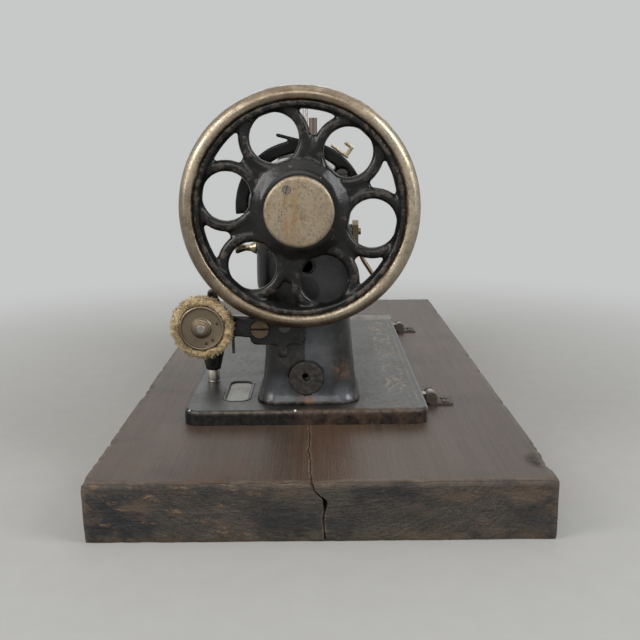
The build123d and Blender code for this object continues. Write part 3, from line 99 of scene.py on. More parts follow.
# Half the width of the wheel's rim.
HALF_RIM = 9.5 * MM
WHEEL_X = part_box("handwheel")[0].x + HALF_RIM
WHEEL_Y = middle_of("handwheel").y
WHEEL_Z = middle_of("handwheel").z
WHEEL_R = span_of("handwheel").z / 2
BED_EDGE_LOW, BED_EDGE_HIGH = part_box("bed_plate")
BED_TOP = BED_EDGE_HIGH.z
PLANK_LOW, PLANK_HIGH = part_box("base_board")

# The plank's crack runs from here to its near end. Its place is painted on the mesh over CRACK_SPAN.
CRACK_START = 0.178
CRACK_SPAN = 16 * MM
KNOT = (0.262, 0.139, 0.039)

# The pillar's near face, which points at X. Places on it are (across, height).
PILLAR_FACE = 0.170
PILLAR_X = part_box("pillar_covers")[1].x - 1.2 * MM
# The arm's foot spreads by FOOT_SPREAD where it meets the bed, and less and less up to FOOT_RISE.
FOOT_SPREAD = 2.6 * MM
FOOT_RISE = 12 * MM
# The casting is set back behind the two round covers. Each seat is the (place, radius) of a cover.
SEAT_DEPTH = 2.2 * MM
COVER_SEATS = (((-9.5 * MM, 70.1 * MM), 12.4 * MM), ((3.0 * MM, 143.5 * MM), 18.5 * MM))
# Each hole is (place, radius, how far behind the outermost face it starts).
COVER_HOLES = (((-10.0 * MM, 71.6 * MM), 2.3 * MM, 0.0), ((-8.2 * MM, 151.4 * MM), 4.2 * MM, 3.1 * MM))
# Near black painted as shade inside the covers' small holes.
HOLE_SHADE = (0.001, 0.001, 0.001)
# The lower cover ends below these heights and the upper one starts above them.
BETWEEN_COVERS = (0.100, 0.105)
# Middle of the dark round patch on the upper cover.
UPPER_SHADE = (-9.0 * MM, 134.5 * MM)
# Painted reflection on smoother enamel at the pillar's foot, rust above it, and a painted glint and blank
# metal on the bed's edge, each (middle, reach).
REFLECTION_SPOTS = (((PILLAR_X, -0.029, 0.060), 0.016), ((PILLAR_X, 0.018, 0.058), 0.013))
RUST_SPOTS = (
    ((PILLAR_X, 0.018, 0.0745), 0.010), ((PILLAR_X, -0.0095, 0.053), 0.008),
    ((PILLAR_X, -0.040, 0.072), 0.006))
EDGE_GLINT_AND_CHIP = (
    ((0.1895, -0.0175, BED_TOP - 0.8 * MM), 1.3 * MM), ((0.187, -0.094, BED_TOP - 0.5 * MM), 1.0 * MM))

FLOOR_REACH = 30.0
FLOOR_MIDDLE = (0.0, 0.0, 0.0)
# From the first distance to the second, the floor fades into the backdrop.
FLOOR_FADE = (0.17, 0.80)
# Where the photograph was taken from, and the camera's pitch, yaw and roll in degrees.
CAMERA_PLACE = (0.7382, 0.00074, 0.2347)
CAMERA_ANGLES = (12.21, 0.02, -0.53)
LAMP_AIM = Vector((0.1, 0.0, 0.1))
# Each lamp is (name, place, size, watts, tint).
LAMPS = (
    ("top light", (0.1, 0.0, 1.45), (1.5, 1.5), 8.0, (1.0, 0.98, 0.95)),
    ("front light", (1.7, -0.2, 1.1), (1.4, 1.0), 12.0, (1.0, 0.99, 0.97)),
    ("left light", (0.75, -1.05, 0.85), (0.55, 0.9), 13.0, (1.0, 0.98, 0.96)),
    ("right light", (0.65, 1.1, 0.9), (0.55, 0.9), 13.0, (0.97, 0.985, 1.0)),
    ("back light", (-1.2, 0.1, 0.9), (1.4, 0.8), 5.0, (1.0, 1.0, 1.0)),
)


# Settings


def colour(name, description, default):
    """A colour that the panel shows."""
    return bpy.props.FloatVectorProperty(
        name=name, description=description, subtype="COLOR", default=default, min=0, max=1)


def length(name, description, default, **limits):
    """A length that the panel shows."""
    return bpy.props.FloatProperty(
        name=name, description=description, default=default, unit="LENGTH", **limits)


class PlankSettings(bpy.types.PropertyGroup):
    """Colours, rings and crack of the plank"""
    top_colour: colour("Top colour", "Waxed face of the plank", (0.054, 0.037, 0.025))
    end_colour: colour("End colour", "Dark sawn end of the plank", (0.054, 0.047, 0.039))
    fleck_colour: colour("Fleck colour", "Bare wood that shows in chips", (0.17, 0.105, 0.058))
    ring_gap: length("Ring gap", "Distance between growth rings", 3.4 * MM, min=0.5 * MM)
    pith_height: length("Pith height", "How far the tree's middle lies above the plank's underside", 0.165)
    crack_width: length("Crack width", "Usual width of the drying crack", 0.5 * MM, min=0)
    crack_depth: length("Crack depth", "Depth of the drying crack", 8.0 * MM, min=0)


class IronSettings(bpy.types.PropertyGroup):
    """Colours and grain of the enamelled castings"""
    japan_colour: colour("Japan colour", "Black stoved enamel on the castings", (0.0070, 0.0068, 0.0066))
    worn_colour: colour("Worn colour", "Brown metal where the enamel has rubbed off", (0.13, 0.105, 0.085))
    rust_colour: colour("Rust colour", "Rust spots and streaks", (0.13, 0.055, 0.024))
    gilt_colour: colour("Gilt colour", "What is left of the gilt lining", (0.24, 0.16, 0.075))
    cast_grain: length("Cast grain", "Voxel that the castings are closed with", 1.7 * MM, min=0.8 * MM)


class WheelSettings(bpy.types.PropertyGroup):
    """Loops and rim of the handwheel"""
    spokes: bpy.props.IntProperty(
        name="Spoke loops", description="How many loops join the hub to the rim", default=6, min=3, max=12)
    loop_circle: length("Loop circle", "Radius of the circle that the loops' middles lie on", 50.1 * MM)
    loop_radius: length("Loop radius", "Middle radius of one loop", 20.2 * MM)
    loop_thickness: length("Loop thickness", "Radius of a loop's round section", 4.0 * MM)
    first_angle: bpy.props.FloatProperty(
        name="First angle", description="Angle of the first loop from the level",
        default=math.radians(-11), subtype="ANGLE")
    rim_colour: colour("Rim colour", "Worn nickel of the rim", (0.43, 0.365, 0.275))


class WinderSettings(bpy.types.PropertyGroup):
    """The frayed ring of the bobbin winder"""
    fibre_colour: colour("Fibre colour", "Frayed ring on the winder pulley", (0.50, 0.36, 0.18))
    fibres: bpy.props.IntProperty(
        name="Fibres", description="Loose fibres on the ring", default=1700, min=0, max=8000)
    fibre_length: length("Fibre length", "Length of one loose fibre", 1.8 * MM)


class StageSettings(bpy.types.PropertyGroup):
    """Floor, backdrop and lens"""
    floor_colour: colour("Floor colour", "Floor under and in front of the plank", (0.30, 0.295, 0.28))
    backdrop_colour: colour("Backdrop colour", "Light grey behind the machine", (0.57, 0.58, 0.575))
    camera_lens: bpy.props.FloatProperty(
        name="Lens", description="Focal length on a 36 mm sensor", default=45.0, min=10,
        subtype="DISTANCE_CAMERA")


# Nodes


def feed(tree, socket, value):
    """Links or sets one input of a node."""
    if isinstance(value, bpy.types.NodeSocket):
        tree.links.new(value, socket)
    elif socket.type == "RGBA" and len(value) == 3:
        socket.default_value = (*value, 1.0)
    else:
        socket.default_value = value


def add_node(tree, kind, inputs=None, **settings):
    """One node with its settings and inputs."""
    node = tree.nodes.new(kind)
    for key, value in settings.items():
        setattr(node, key, value)
    for key, value in (inputs or {}).items():
        feed(tree, node.inputs[key], value)
    return node


# Mesh helpers


def new_object(name, mesh):
    """A linked object of that mesh, at the origin."""
    mesh.name = name
    obj = bpy.data.objects.new(name, mesh)
    bpy.context.scene.collection.objects.link(obj)
    return obj


def from_bmesh(name, bm):
    """An object of a finished bmesh, its faces turned outwards."""
    bmesh.ops.recalc_face_normals(bm, faces=bm.faces)
    mesh = bpy.data.meshes.new(name)
    bm.to_mesh(mesh)
    bm.free()
    return new_object(name, mesh)


def frame_copy(node):
    """A welded copy of one frame node, with its flat faces made whole."""
    bm = bmesh.new()
    bm.from_mesh(frame["nodes"][node].data)
    bmesh.ops.remove_doubles(bm, verts=bm.verts, dist=WELD)
    bmesh.ops.dissolve_degenerate(bm, edges=bm.edges, dist=WELD / 2)
    bmesh.ops.dissolve_limit(bm, angle_limit=math.radians(0.6), verts=bm.verts, edges=bm.edges)
    for layer in list(bm.loops.layers.uv):
        bm.loops.layers.uv.remove(layer)
    mesh = bpy.data.meshes.new(node + "_finish")
    bm.to_mesh(mesh)
    bm.free()
    return new_object(node + "_finish", mesh)


def baked(obj):
    """Turns the object's modifiers into its plain mesh."""
    bpy.context.view_layer.update()
    graph = bpy.context.evaluated_depsgraph_get()
    mesh = bpy.data.meshes.new_from_object(obj.evaluated_get(graph), depsgraph=graph)
    old = obj.data
    obj.modifiers.clear()
    obj.data = mesh
    mesh.name = obj.name
    if isinstance(old, bpy.types.Mesh):
        bpy.data.meshes.remove(old)
    return obj


def shade(obj, angle=35.0):
    """Smooth faces, sharp where they meet at more than the angle."""
    obj.data.shade_smooth()
    if angle:
        obj.data.set_sharp_from_angle(angle=math.radians(angle))
    return obj


def bevelled(obj, width):
    """Rounds off the sharp edges and evens out the shading of the faces."""
    bevel = obj.modifiers.new("Rounded edges", "BEVEL")
    bevel.width = width
    bevel.segments = 2
    bevel.limit_method = "ANGLE"
    bevel.angle_limit = math.radians(38)
    bevel.use_clamp_overlap = True
    shade(baked(obj), 40.0)
    even = obj.modifiers.new("Even faces", "WEIGHTED_NORMAL")
    even.keep_sharp = True
    return baked(obj)


def remeshed(obj, voxel, rounds=3, factor=0.5):
    """Closes the shape with a voxel mesh and softens it, as a casting is."""
    remesh = obj.modifiers.new("Closed", "REMESH")
    remesh.mode = "VOXEL"
    remesh.voxel_size = voxel
    baked(obj)
    soft = obj.modifiers.new("Soft", "SMOOTH")
    soft.factor = factor
    soft.iterations = rounds
    return shade(baked(obj), 0)


def joined(name, objects):
    """One object with the meshes of them all."""
    bm = bmesh.new()
    for obj in objects:
        bm.from_mesh(obj.data)
    mesh = bpy.data.meshes.new(name)
    bm.to_mesh(mesh)
    bm.free()
    for obj in objects:
        old = obj.data
        bpy.data.objects.remove(obj)
        bpy.data.meshes.remove(old)
    return new_object(name, mesh)


def points_of(obj):
    """The mesh's vertices as an array."""
    flat = np.zeros(len(obj.data.vertices) * 3, np.float32)
    obj.data.vertices.foreach_get("co", flat)
    return flat.reshape(-1, 3).astype(float)


def normals_of(obj):
    """The mesh's vertex normals as an array."""
    flat = np.zeros(len(obj.data.vertices) * 3, np.float32)
    obj.data.vertices.foreach_get("normal", flat)
    return flat.reshape(-1, 3).astype(float)


def put_points(obj, points):
    """Moves the mesh's vertices."""
    obj.data.vertices.foreach_set("co", points.astype(np.float32).ravel())
    obj.data.update()


def push_out(obj, push):
    """Moves the vertices along their normals, by one distance or by one for each."""
    put_points(obj, points_of(obj) + normals_of(obj) * np.reshape(push, (-1, 1)))


def lumps(points, size, seed=0):
    """Smooth noise from -1 to 1 at the points, with lumps about size across.

    The large numbers mix the place of a cell's corner into one of 65536 values.
    """
    place = points / size + 531.7 + seed * 17.31
    base = np.floor(place).astype(np.int64)
    part = place - base
    part = part * part * (3 - 2 * part)
    total = np.zeros(len(points))
    for corner in range(8):
        step = np.array([(corner >> axis) & 1 for axis in range(3)])
        cell = base + step
        mixed = (cell[:, 0] * 73856093) ^ (cell[:, 1] * 19349663) ^ (cell[:, 2] * 83492791)
        mixed = ((mixed ^ (mixed >> 13)) * 1274126177) & 0x7FFFFFFF
        value = (mixed % 65536) / 32768.0 - 1
        total += value * np.prod(np.where(step, part, 1 - part), axis=1)
    return total


def paint(obj, name, values):
    """Stores one number at each vertex for a material to read."""
    layer = obj.data.attributes.new(name, "FLOAT", "POINT")
    layer.data.foreach_set("value", np.clip(values, 0, 1).astype(np.float32))


def edge_wear(obj, reach=1.0):
    """How far each vertex stands out of its neighbours, from 0 on the flat to 1 on a ridge."""
    points = points_of(obj)
    normals = normals_of(obj)
    edges = np.zeros(len(obj.data.edges) * 2, np.int32)
    obj.data.edges.foreach_get("vertices", edges)
    edges = edges.reshape(-1, 2)
    a, b = edges[:, 0], edges[:, 1]
    away = points[b] - points[a]
    length = np.maximum(np.linalg.norm(away, axis=1), 1e-9)
    total = np.zeros(len(points))
    count = np.zeros(len(points))
    for start, sign in ((a, -1.0), (b, 1.0)):
        bend = sign * np.einsum("ij,ij->i", away, normals[start]) / length
        np.add.at(total, start, bend)
        np.add.at(count, start, 1)
    ridge = total / np.maximum(count, 1)
    for _ in range(3):
        spread = np.zeros(len(points))
        np.add.at(spread, a, ridge[b])
        np.add.at(spread, b, ridge[a])
        ridge = 0.5 * ridge + 0.5 * spread / np.maximum(count, 1)
    return np.clip(ridge * 9.0 * reach, 0, 1)


def revolved(name, profile, centre, axis="X", segments=96, closed=False):
    """A body turned round an axis. The profile lists (radius, place along the axis)."""
    bm = bmesh.new()
    rings = []
    for radius, along in profile:
        ring = []
        for index in range(segments):
            angle = 2 * math.pi * index / segments
            one, two = radius * math.cos(angle), radius * math.sin(angle)
            if axis == "X":
                place = (along, one, two)
            elif axis == "Y":
                place = (two, along, one)
            else:
                place = (one, two, along)
            if radius == 0 and ring:
                ring.append(ring[0])
            else:
                ring.append(bm.verts.new(Vector(place) + Vector(centre)))
        rings.append(ring)
    pairs = list(zip(rings, rings[1:]))
    if closed:
        pairs.append((rings[-1], rings[0]))
    for first, second in pairs:
        for index in range(segments):
            after = (index + 1) % segments
            corners = []
            for vert in (first[index], first[after], second[after], second[index]):
                if vert not in corners:
                    corners.append(vert)
            if len(corners) > 2:
                bm.faces.new(corners)
    return from_bmesh(name, bm)


def in_mm(pairs):
    """Pairs of millimetres as metres."""
    return [(first * MM, second * MM) for first, second in pairs]


def cut(obj, tools):
    """Takes the tools' shapes out of the object, and the tools away."""
    for tool in tools:
        obj.modifiers.new("Hole", "BOOLEAN").object = tool
    baked(obj)
    for tool in tools:
        bpy.data.objects.remove(tool)
    return obj


def drilled(obj, holes):
    """Drills blind holes along X. Each hole is (mouth, radius, depth)."""
    over = 3 * MM
    return cut(obj, [
        revolved("drill", [(0, -depth), (radius, -depth), (radius, over), (0, over)], mouth, segments=32)
        for mouth, radius, depth in holes])


def block(name, size, middle, corner=0.0):
    """A box round its middle, with its upright edges rounded off."""
    bm = bmesh.new()
    bmesh.ops.create_cube(bm, size=1.0)
    bmesh.ops.scale(bm, vec=Vector(size), verts=bm.verts)
    bmesh.ops.translate(bm, vec=Vector(middle), verts=bm.verts)
    if corner:
        upright = [edge for edge in bm.edges if abs(edge.verts[0].co.z - edge.verts[1].co.z) > size[2] / 2]
        bmesh.ops.bevel(bm, geom=upright, offset=corner, segments=6, affect="EDGES", profile=0.5)
    return from_bmesh(name, bm)


def mark(obj, node, material, bend=None):
    """Gives a finished piece its material and body, and hides the frame node that it stands for.

    With bend, which is (second body, start, end), the piece is put on no body and its place is baked into
    its mesh; the second body, start and end are not used.
    """
    obj.data.materials.clear()
    obj.data.materials.append(material)
    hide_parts(node)
    if bend is None:
        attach(obj, body_of(node))
    else:
        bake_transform(obj)
    return obj


def body_of(node):
    """The body that a frame node belongs to."""
    return frame["nodes"][node]["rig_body"]


def slot_of(node):
    """The material slot that the record gives a frame node."""
    for row in frame["record"]["subparts"]:
        if row["node"] == node:
            return row["material_slot"]
    raise RuntimeError("no slot for " + node)


def cast_noise(points):
    """Lumps of two sizes, as in a sand casting."""
    return lumps(points, 9 * MM) * 0.6 + lumps(points, 3 * MM, 5) * 0.4


def dressed(node, look=None, bevel=0.0, voxel=0.0, angle=35.0, grit=0.0):
    """A finished copy of one frame node, in the look of its slot or in the one that is named.

    It gets rounded edges with bevel, the skin of a casting with voxel, and smooth faces without either.
    """
    obj = frame_copy(node)
    if voxel:
        remeshed(obj, voxel)
        push_out(obj, cast_noise(points_of(obj)) * grit)
        paint(obj, "wear", edge_wear(obj))
    elif bevel:
        bevelled(obj, bevel)
    else:
        shade(obj, angle)
    return mark(obj, node, finish(look or slot_of(node)))


def dress_all(*rows):
    """Dresses nodes listed as (node, bevel in mm) or (node, bevel in mm, look)."""
    for node, bevel, *look in rows:
        dressed(node, *look, bevel=bevel * MM)


# Materials


class Finish:
    """Builds one material from small steps."""

    def __init__(self, name):
        self.material = bpy.data.materials.new(name)
        self.material.use_nodes = True
        self.tree = self.material.node_tree
        self.tree.nodes.clear()
        self.surface = self.tree.nodes.new("ShaderNodeBsdfPrincipled")
        output = self.tree.nodes.new("ShaderNodeOutputMaterial")
        self.tree.links.new(self.surface.outputs[0], output.inputs["Surface"])
        coordinates = self.tree.nodes.new("ShaderNodeTexCoord")
        self.place = coordinates.outputs["Object"]
        self.facing = coordinates.outputs["Normal"]
        self.relief = None

    def add(self, kind, inputs=None, **settings):
        """One node with its settings and inputs."""
        return add_node(self.tree, kind, inputs, **settings)

    def spread(self, scale=(1, 1, 1), shift=(0, 0, 0), turn=(0, 0, 0)):
        """Coordinates moved and stretched for a pattern."""
        return self.add("ShaderNodeMapping", {
            "Vector": self.place, "Scale": scale, "Location": shift, "Rotation": turn,
        }).outputs[0]

    def noise(self, scale, detail=4.0, rough=0.55, place=None):
        """Cloudy noise from 0 to 1."""
        return self.add("ShaderNodeTexNoise", {
            "Vector": place or self.place, "Scale": scale, "Detail": detail, "Roughness": rough,
        }).outputs[0]

    def cells(self, scale):
        """Distance to scattered points."""
        return self.add("ShaderNodeTexVoronoi", {"Vector": self.place, "Scale": scale},
                        feature="F1").outputs["Distance"]

    def sum(self, first, second, kind="ADD", clamp=False):
        """Arithmetic on two numbers."""
        return self.add("ShaderNodeMath", {0: first, 1: second}, operation=kind, use_clamp=clamp).outputs[0]

    def times(self, first, second):
        """The product of two numbers."""
        return self.sum(first, second, "MULTIPLY")

    def less(self, first, second, clamp=False):
        """The first number less the second."""
        return self.sum(first, second, "SUBTRACT", clamp)

    def most(self, first, second):
        """The larger of two numbers."""
        return self.sum(first, second, "MAXIMUM")

    def least(self, first, second):
        """The smaller of two numbers."""
        return self.sum(first, second, "MINIMUM")

    def away(self, value, middle=0.0):
        """How far a number is from the middle, without its sign."""
        return self.sum(self.less(value, middle) if middle else value, 0.0, "ABSOLUTE")

    def band(self, value, low, high, to_low=0.0, to_high=1.0):
        """Spreads low..high over to_low..to_high, held at the ends."""
        return self.add("ShaderNodeMapRange", {
            "Value": value, "From Min": low, "From Max": high, "To Min": to_low, "To Max": to_high,
        }, clamp=True, interpolation_type="SMOOTHSTEP").outputs[0]

    def fall(self, value, low, high):
        """1 up to low, falling to 0 at high."""
        return self.band(value, low, high, 1.0, 0.0)

    def mix(self, share, first, second):
        """Mixes two colours."""
        return self.add("ShaderNodeMix", {0: share, 6: first, 7: second}, data_type="RGBA",
                        clamp_factor=True).outputs[2]

    def stored(self, name):
        """A number painted on the mesh."""
        return self.add("ShaderNodeAttribute", attribute_name=name).outputs["Fac"]

    def axes(self, place=None):
        """The three parts of a vector."""
        return self.add("ShaderNodeSeparateXYZ", {0: place or self.place}).outputs

    def length(self, vector):
        """The length of a vector."""
        return self.add("ShaderNodeVectorMath", {0: vector}, operation="LENGTH").outputs["Value"]

    def radius(self, centre, axis="X"):
        """Distance from a line through centre along the axis."""
        flat = {"X": (0, 1, 1), "Y": (1, 0, 1), "Z": (1, 1, 0)}[axis]
        return self.length(self.spread(scale=flat, shift=tuple(-c * f for c, f in zip(centre, flat))))

    def near(self, centre, reach, soft=0.5):
        """1 close to a point, falling to 0 at reach."""
        return self.fall(self.length(self.spread(shift=tuple(-c for c in centre))), reach * soft, reach)

    def bump(self, height, depth, strength=1.0):
        """Relief of that depth in metres, on top of what is there."""
        inputs = {"Height": height, "Distance": depth, "Strength": strength}
        if self.relief is not None:
            inputs["Normal"] = self.relief
        self.relief = self.add("ShaderNodeBump", inputs).outputs[0]

    def done(self, **values):
        """Sets the surface's inputs and returns the material."""
        if self.relief is not None:
            values["Normal"] = self.relief
        for key, value in values.items():
            feed(self.tree, self.surface.inputs[key.replace("_", " ")], value)
        return self.material


def iron_settings():
    """The castings' settings, which several finishes read."""
    return bpy.context.scene.machine_iron


def plank_wood():
    """Old waxed softwood: one set of growth rings runs through the whole plank."""
    own = bpy.context.scene.machine_plank
    f = Finish("plank wood")
    sway = f.noise(3.0, 3, 0.5, place=f.spread(scale=(0.5, 2.2, 2.2)))
    sway_fine = f.noise(26.0, 3, 0.6, place=f.spread(scale=(0.25, 1.5, 1.5)))
    moved = f.spread(scale=(0, 1, 1), shift=(0, 0.012, -own.pith_height))
    radius = f.length(moved)
    radius = f.sum(radius, f.times(f.less(sway, 0.5), 0.028))
    radius = f.sum(radius, f.times(f.less(sway_fine, 0.5), 0.0035))
    phase = f.times(radius, 1.0 / own.ring_gap)
    ring = f.sum(phase, 1.0, "FRACT")
    late = f.band(ring, 0.45, 0.97)
    late = f.times(late, f.fall(ring, 0.97, 1.0))
    _, _, z = f.axes()
    nx, _, nz = f.axes(f.facing)
    end = f.band(f.away(nx), 0.55, 0.8)
    up = f.band(nz, 0.5, 0.85)
    fibre = f.noise(1.0, 6, 0.65, place=f.spread(scale=(14, 900, 900)))
    pores = f.noise(1.0, 5, 0.7, place=f.spread(scale=(60, 1500, 1500)))
    blotch = f.noise(9.0, 5, 0.6)
    smear = f.noise(3.2, 4, 0.6, place=f.spread(scale=(0.6, 2.4, 2.0)))
    top = f.mix(f.band(fibre, 0.3, 0.72), tuple(c * 0.70 for c in own.top_colour),
                tuple(c * 1.30 for c in own.top_colour))
    uneven = f.band(f.noise(34.0, 4, 0.6), 0.3, 0.7, 0.30, 1.0)
    late = f.times(late, uneven)
    lines = f.band(f.noise(1.0, 3, 0.5, place=f.spread(scale=(3, 420, 420))), 0.44, 0.60)
    top = f.mix(f.times(lines, 0.38), top, (0.030, 0.019, 0.012))
    top = f.mix(f.times(late, 0.26), top, (0.034, 0.021, 0.014))
    top = f.mix(f.band(smear, 0.42, 0.72, 0.0, 0.55), top, (0.040, 0.031, 0.025))
    top = f.mix(f.band(blotch, 0.60, 0.78, 0.0, 0.3), top, (0.10, 0.070, 0.050))
    warm = f.noise(1.0, 5, 0.65, place=f.spread(scale=(7, 13, 13), shift=(0.4, 0.1, 0)))
    top = f.mix(f.band(warm, 0.48, 0.66, 0.0, 0.55), top, (0.066, 0.035, 0.021))
    smudge = f.noise(1.0, 5, 0.68, place=f.spread(scale=(24, 8, 8)))
    top = f.mix(f.band(smudge, 0.50, 0.68, 0.0, 0.60), top, (0.021, 0.017, 0.015))
    sawn = f.mix(f.band(pores, 0.35, 0.7), tuple(c * 0.45 for c in own.end_colour),
                 tuple(c * 1.5 for c in own.end_colour))
    sawn = f.mix(f.times(late, 0.45), sawn, (0.014, 0.012, 0.011))
    sawn = f.mix(f.band(f.noise(13.0, 5, 0.65), 0.40, 0.56, 0.0, 0.85), sawn, (0.013, 0.013, 0.015))
    sawn = f.mix(f.band(f.noise(22.0, 5, 0.7, place=f.spread(scale=(1, 0.6, 1.3))), 0.50, 0.66, 0.0, 0.8),
                 sawn, (0.095, 0.066, 0.046))
    speck = f.noise(300.0, 5, 0.7, place=f.spread(scale=(1, 0.36, 1.1)))
    arc = f.band(f.sum(f.times(radius, 1.0 / (14 * MM)), 1.0, "FRACT"), 0.55, 0.80)
    arc = f.times(arc, f.band(blotch, 0.44, 0.60))
    flecks = f.times(f.band(speck, 0.53, 0.64), arc)
    flecks = f.most(flecks, f.band(speck, 0.66, 0.76, 0.0, 0.45))
    sawn = f.mix(f.times(flecks, 0.85), sawn, own.fleck_colour)
    low = f.times(f.fall(z, 1 * MM, 12 * MM), f.band(f.noise(45.0, 5, 0.7), 0.40, 0.62))
    sawn = f.mix(f.times(low, 0.55), sawn, (0.12, 0.088, 0.058))
    colour = f.mix(end, top, sawn)
    colour = f.mix(f.times(f.stored("knot"), f.band(f.noise(150.0, 4), 0.25, 0.5)), colour,
                   (0.014, 0.009, 0.006))
    wear = f.stored("wear")
    rubbed = f.times(f.band(wear, 0.20, 0.7), f.band(f.noise(70.0, 5, 0.65), 0.36, 0.62))
    colour = f.mix(f.times(rubbed, 0.38), colour, (0.13, 0.098, 0.072))
    split_run = f.stored("crack_run")
    off = f.times(f.less(f.stored("crack_side"), 0.5), CRACK_SPAN)
    off = f.sum(off, f.times(f.less(f.noise(190.0, 3, 0.6), 0.5), 1.1 * MM))
    off = f.away(off)
    lips = f.times(f.fall(off, 0.4 * MM, 2.0 * MM), f.band(f.noise(110.0, 4, 0.7), 0.36, 0.6))
    colour = f.mix(f.times(f.times(lips, split_run), 0.6), colour, (0.15, 0.11, 0.08))
    over = f.less(off, f.times(f.stored("crack_half"), CRACK_SPAN / 2))
    dark = f.times(f.fall(over, -0.15 * MM, 0.25 * MM), split_run)
    colour = f.mix(dark, colour, (0.007, 0.005, 0.004))
    side = f.times(f.less(1.0, end), f.less(1.0, up))
    colour = f.mix(f.times(side, 0.55), colour, (0.030, 0.024, 0.020))
    f.bump(fibre, 0.35 * MM, 0.55)
    f.bump(late, 0.4 * MM, f.band(end, 0.0, 1.0, 0.10, 0.5))
    f.bump(f.noise(420.0, 5, 0.7), 0.5 * MM, 0.5)
    f.bump(f.times(f.sum(speck, f.noise(90.0, 5, 0.7)), end), 1.6 * MM, 0.9)
    f.bump(f.less(1.0, dark), 0.6 * MM, 0.6)
    sheen = f.band(f.times(smear, fibre), 0.1, 0.5, 0.38, 0.56)
    sheen = f.sum(sheen, f.times(end, 0.16), clamp=True)
    return f.done(Base_Color=colour, Roughness=sheen, Specular_IOR_Level=0.30)


def japanned(name, tone=1.0, shine=0.24, dust=0.35, wear=1.0, rust=0.25, gilt=None, painted=False,
             spots=(), panel=None, level=0.40):
    """Old black enamel on iron, worn to brown metal on its ridges."""
    own = iron_settings()
    f = Finish(name)
    cloud = f.noise(38.0, 5, 0.6)
    fine = f.noise(210.0, 4, 0.65)
    scuff = f.noise(1.0, 5, 0.7, place=f.spread(scale=(90, 420, 260), turn=(0.3, 0.1, 0.5)))
    base = f.mix(f.band(cloud, 0.35, 0.7), tuple(c * tone for c in own.japan_colour),
                 tuple(c * tone * 2.0 + 0.002 for c in own.japan_colour))
    # Where the panel shows, a painted reflection makes the enamel lighter bluish grey.
    if panel is not None:
        reflection_share = panel(f)
        base = f.mix(f.times(reflection_share, 0.9), base, (0.085, 0.092, 0.102))
    grime = f.times(f.band(cloud, 0.48, 0.70), f.band(fine, 0.42, 0.66))
    base = f.mix(f.times(grime, dust), base, (0.115, 0.098, 0.082))
    base = f.mix(f.times(f.band(scuff, 0.62, 0.74), 0.35 * dust), base, (0.22, 0.20, 0.18))
    if gilt is not None:
        base = f.mix(gilt(f), base, own.gilt_colour)
    bare = f.band(f.noise(130.0, 5, 0.7), 0.64, 0.71, 0.0, 0.7 * wear)
    if painted:
        ridge = f.stored("wear")
        ridge = f.times(ridge, f.times(f.band(fine, 0.30, 0.7), 0.55))
        ridge = f.band(ridge, 0.14, 0.42, 0.0, 0.5 * wear)
        bare = f.most(bare, ridge)
    base = f.mix(bare, base, own.worn_colour)
    rusty = f.band(f.noise(64.0, 6, 0.7), 0.66, 0.74, 0.0, rust)
    for centre, reach in spots:
        patch = f.times(f.near(centre, reach, 0.15), f.band(f.noise(160.0, 5, 0.7), 0.38, 0.60))
        rusty = f.most(rusty, patch)
    base = f.mix(rusty, base, own.rust_colour)
    f.bump(f.noise(95.0, 3, 0.5), 0.35 * MM, 0.35)
    f.bump(f.noise(560.0, 4, 0.7), 0.12 * MM, 0.45)
    f.bump(f.less(1.0, f.most(bare, rusty)), 0.10 * MM, 0.6)
    rough = f.band(f.times(cloud, fine), 0.12, 0.45, shine, shine + 0.22)
    rough = f.sum(rough, f.times(f.most(bare, rusty), 0.25), clamp=True)
    metal = f.times(f.times(bare, 0.75), f.less(1.0, rusty))
    if panel is not None:
        rough = f.less(rough, f.times(reflection_share, 0.12), clamp=True)
        # Painted shade: the covers' small holes, and the arm behind them, are painted black.
        hole = hole_shade_mask(f)
        base = f.mix(hole, base, HOLE_SHADE)
        level = f.less(level, f.times(hole, level))
        metal = f.times(metal, f.less(1.0, hole))
    return f.done(Base_Color=base, Roughness=rough, Metallic=metal, Specular_IOR_Level=level)


def bright_metal(name, colour, rough, stained=0.45, stain=(0.20, 0.13, 0.07), turned=None, pits=0.5,
                 streak=None, metallic=1.0, mottle=0.0):
    """Nickel or steel with stains, pits and the marks of turning."""
    f = Finish(name)
    cloud = f.noise(55.0, 6, 0.65)
    fine = f.noise(320.0, 5, 0.7)
    broad = f.noise(17.0, 3, 0.55)
    base = f.mix(f.band(broad, 0.35, 0.68), tuple(c * 0.78 for c in colour), colour)
    stains = f.times(f.band(cloud, 0.44, 0.70), f.band(fine, 0.34, 0.62))
    base = f.mix(f.times(stains, stained), base, stain)
    hole = f.fall(f.cells(420.0), 0.16, 0.30)
    hole = f.times(hole, f.band(fine, 0.5, 0.62))
    base = f.mix(f.times(hole, pits), base, tuple(c * 0.30 for c in stain))
    if mottle:
        spots = f.times(f.band(f.noise(620.0, 5, 0.75), 0.44, 0.60),
                        f.band(f.noise(150.0, 4, 0.6), 0.30, 0.62))
        base = f.mix(f.times(spots, mottle), base, tuple(c * 0.42 for c in colour))
    if streak is not None:
        mask, tint = streak(f)
        base = f.mix(mask, base, tint)
    if turned is not None:
        centre, axis, gap = turned
        rings = f.sum(f.times(f.radius(centre, axis), 2 * math.pi / gap), 0.0, "SINE")
        f.bump(rings, 0.05 * MM, 0.22)
    f.bump(fine, 0.10 * MM, 0.5)
    f.bump(f.less(1.0, hole), 0.12 * MM, 0.6 * pits)
    f.bump(cloud, 0.22 * MM, 0.35)
    roughness = f.band(f.times(cloud, broad), 0.12, 0.45, rough, rough + 0.26)
    roughness = f.sum(roughness, f.times(stains, 0.22), clamp=True)
    metal = f.band(f.times(stains, stained), 0.1, 0.9, metallic, metallic * 0.55)
    return f.done(Base_Color=base, Roughness=roughness, Metallic=metal)


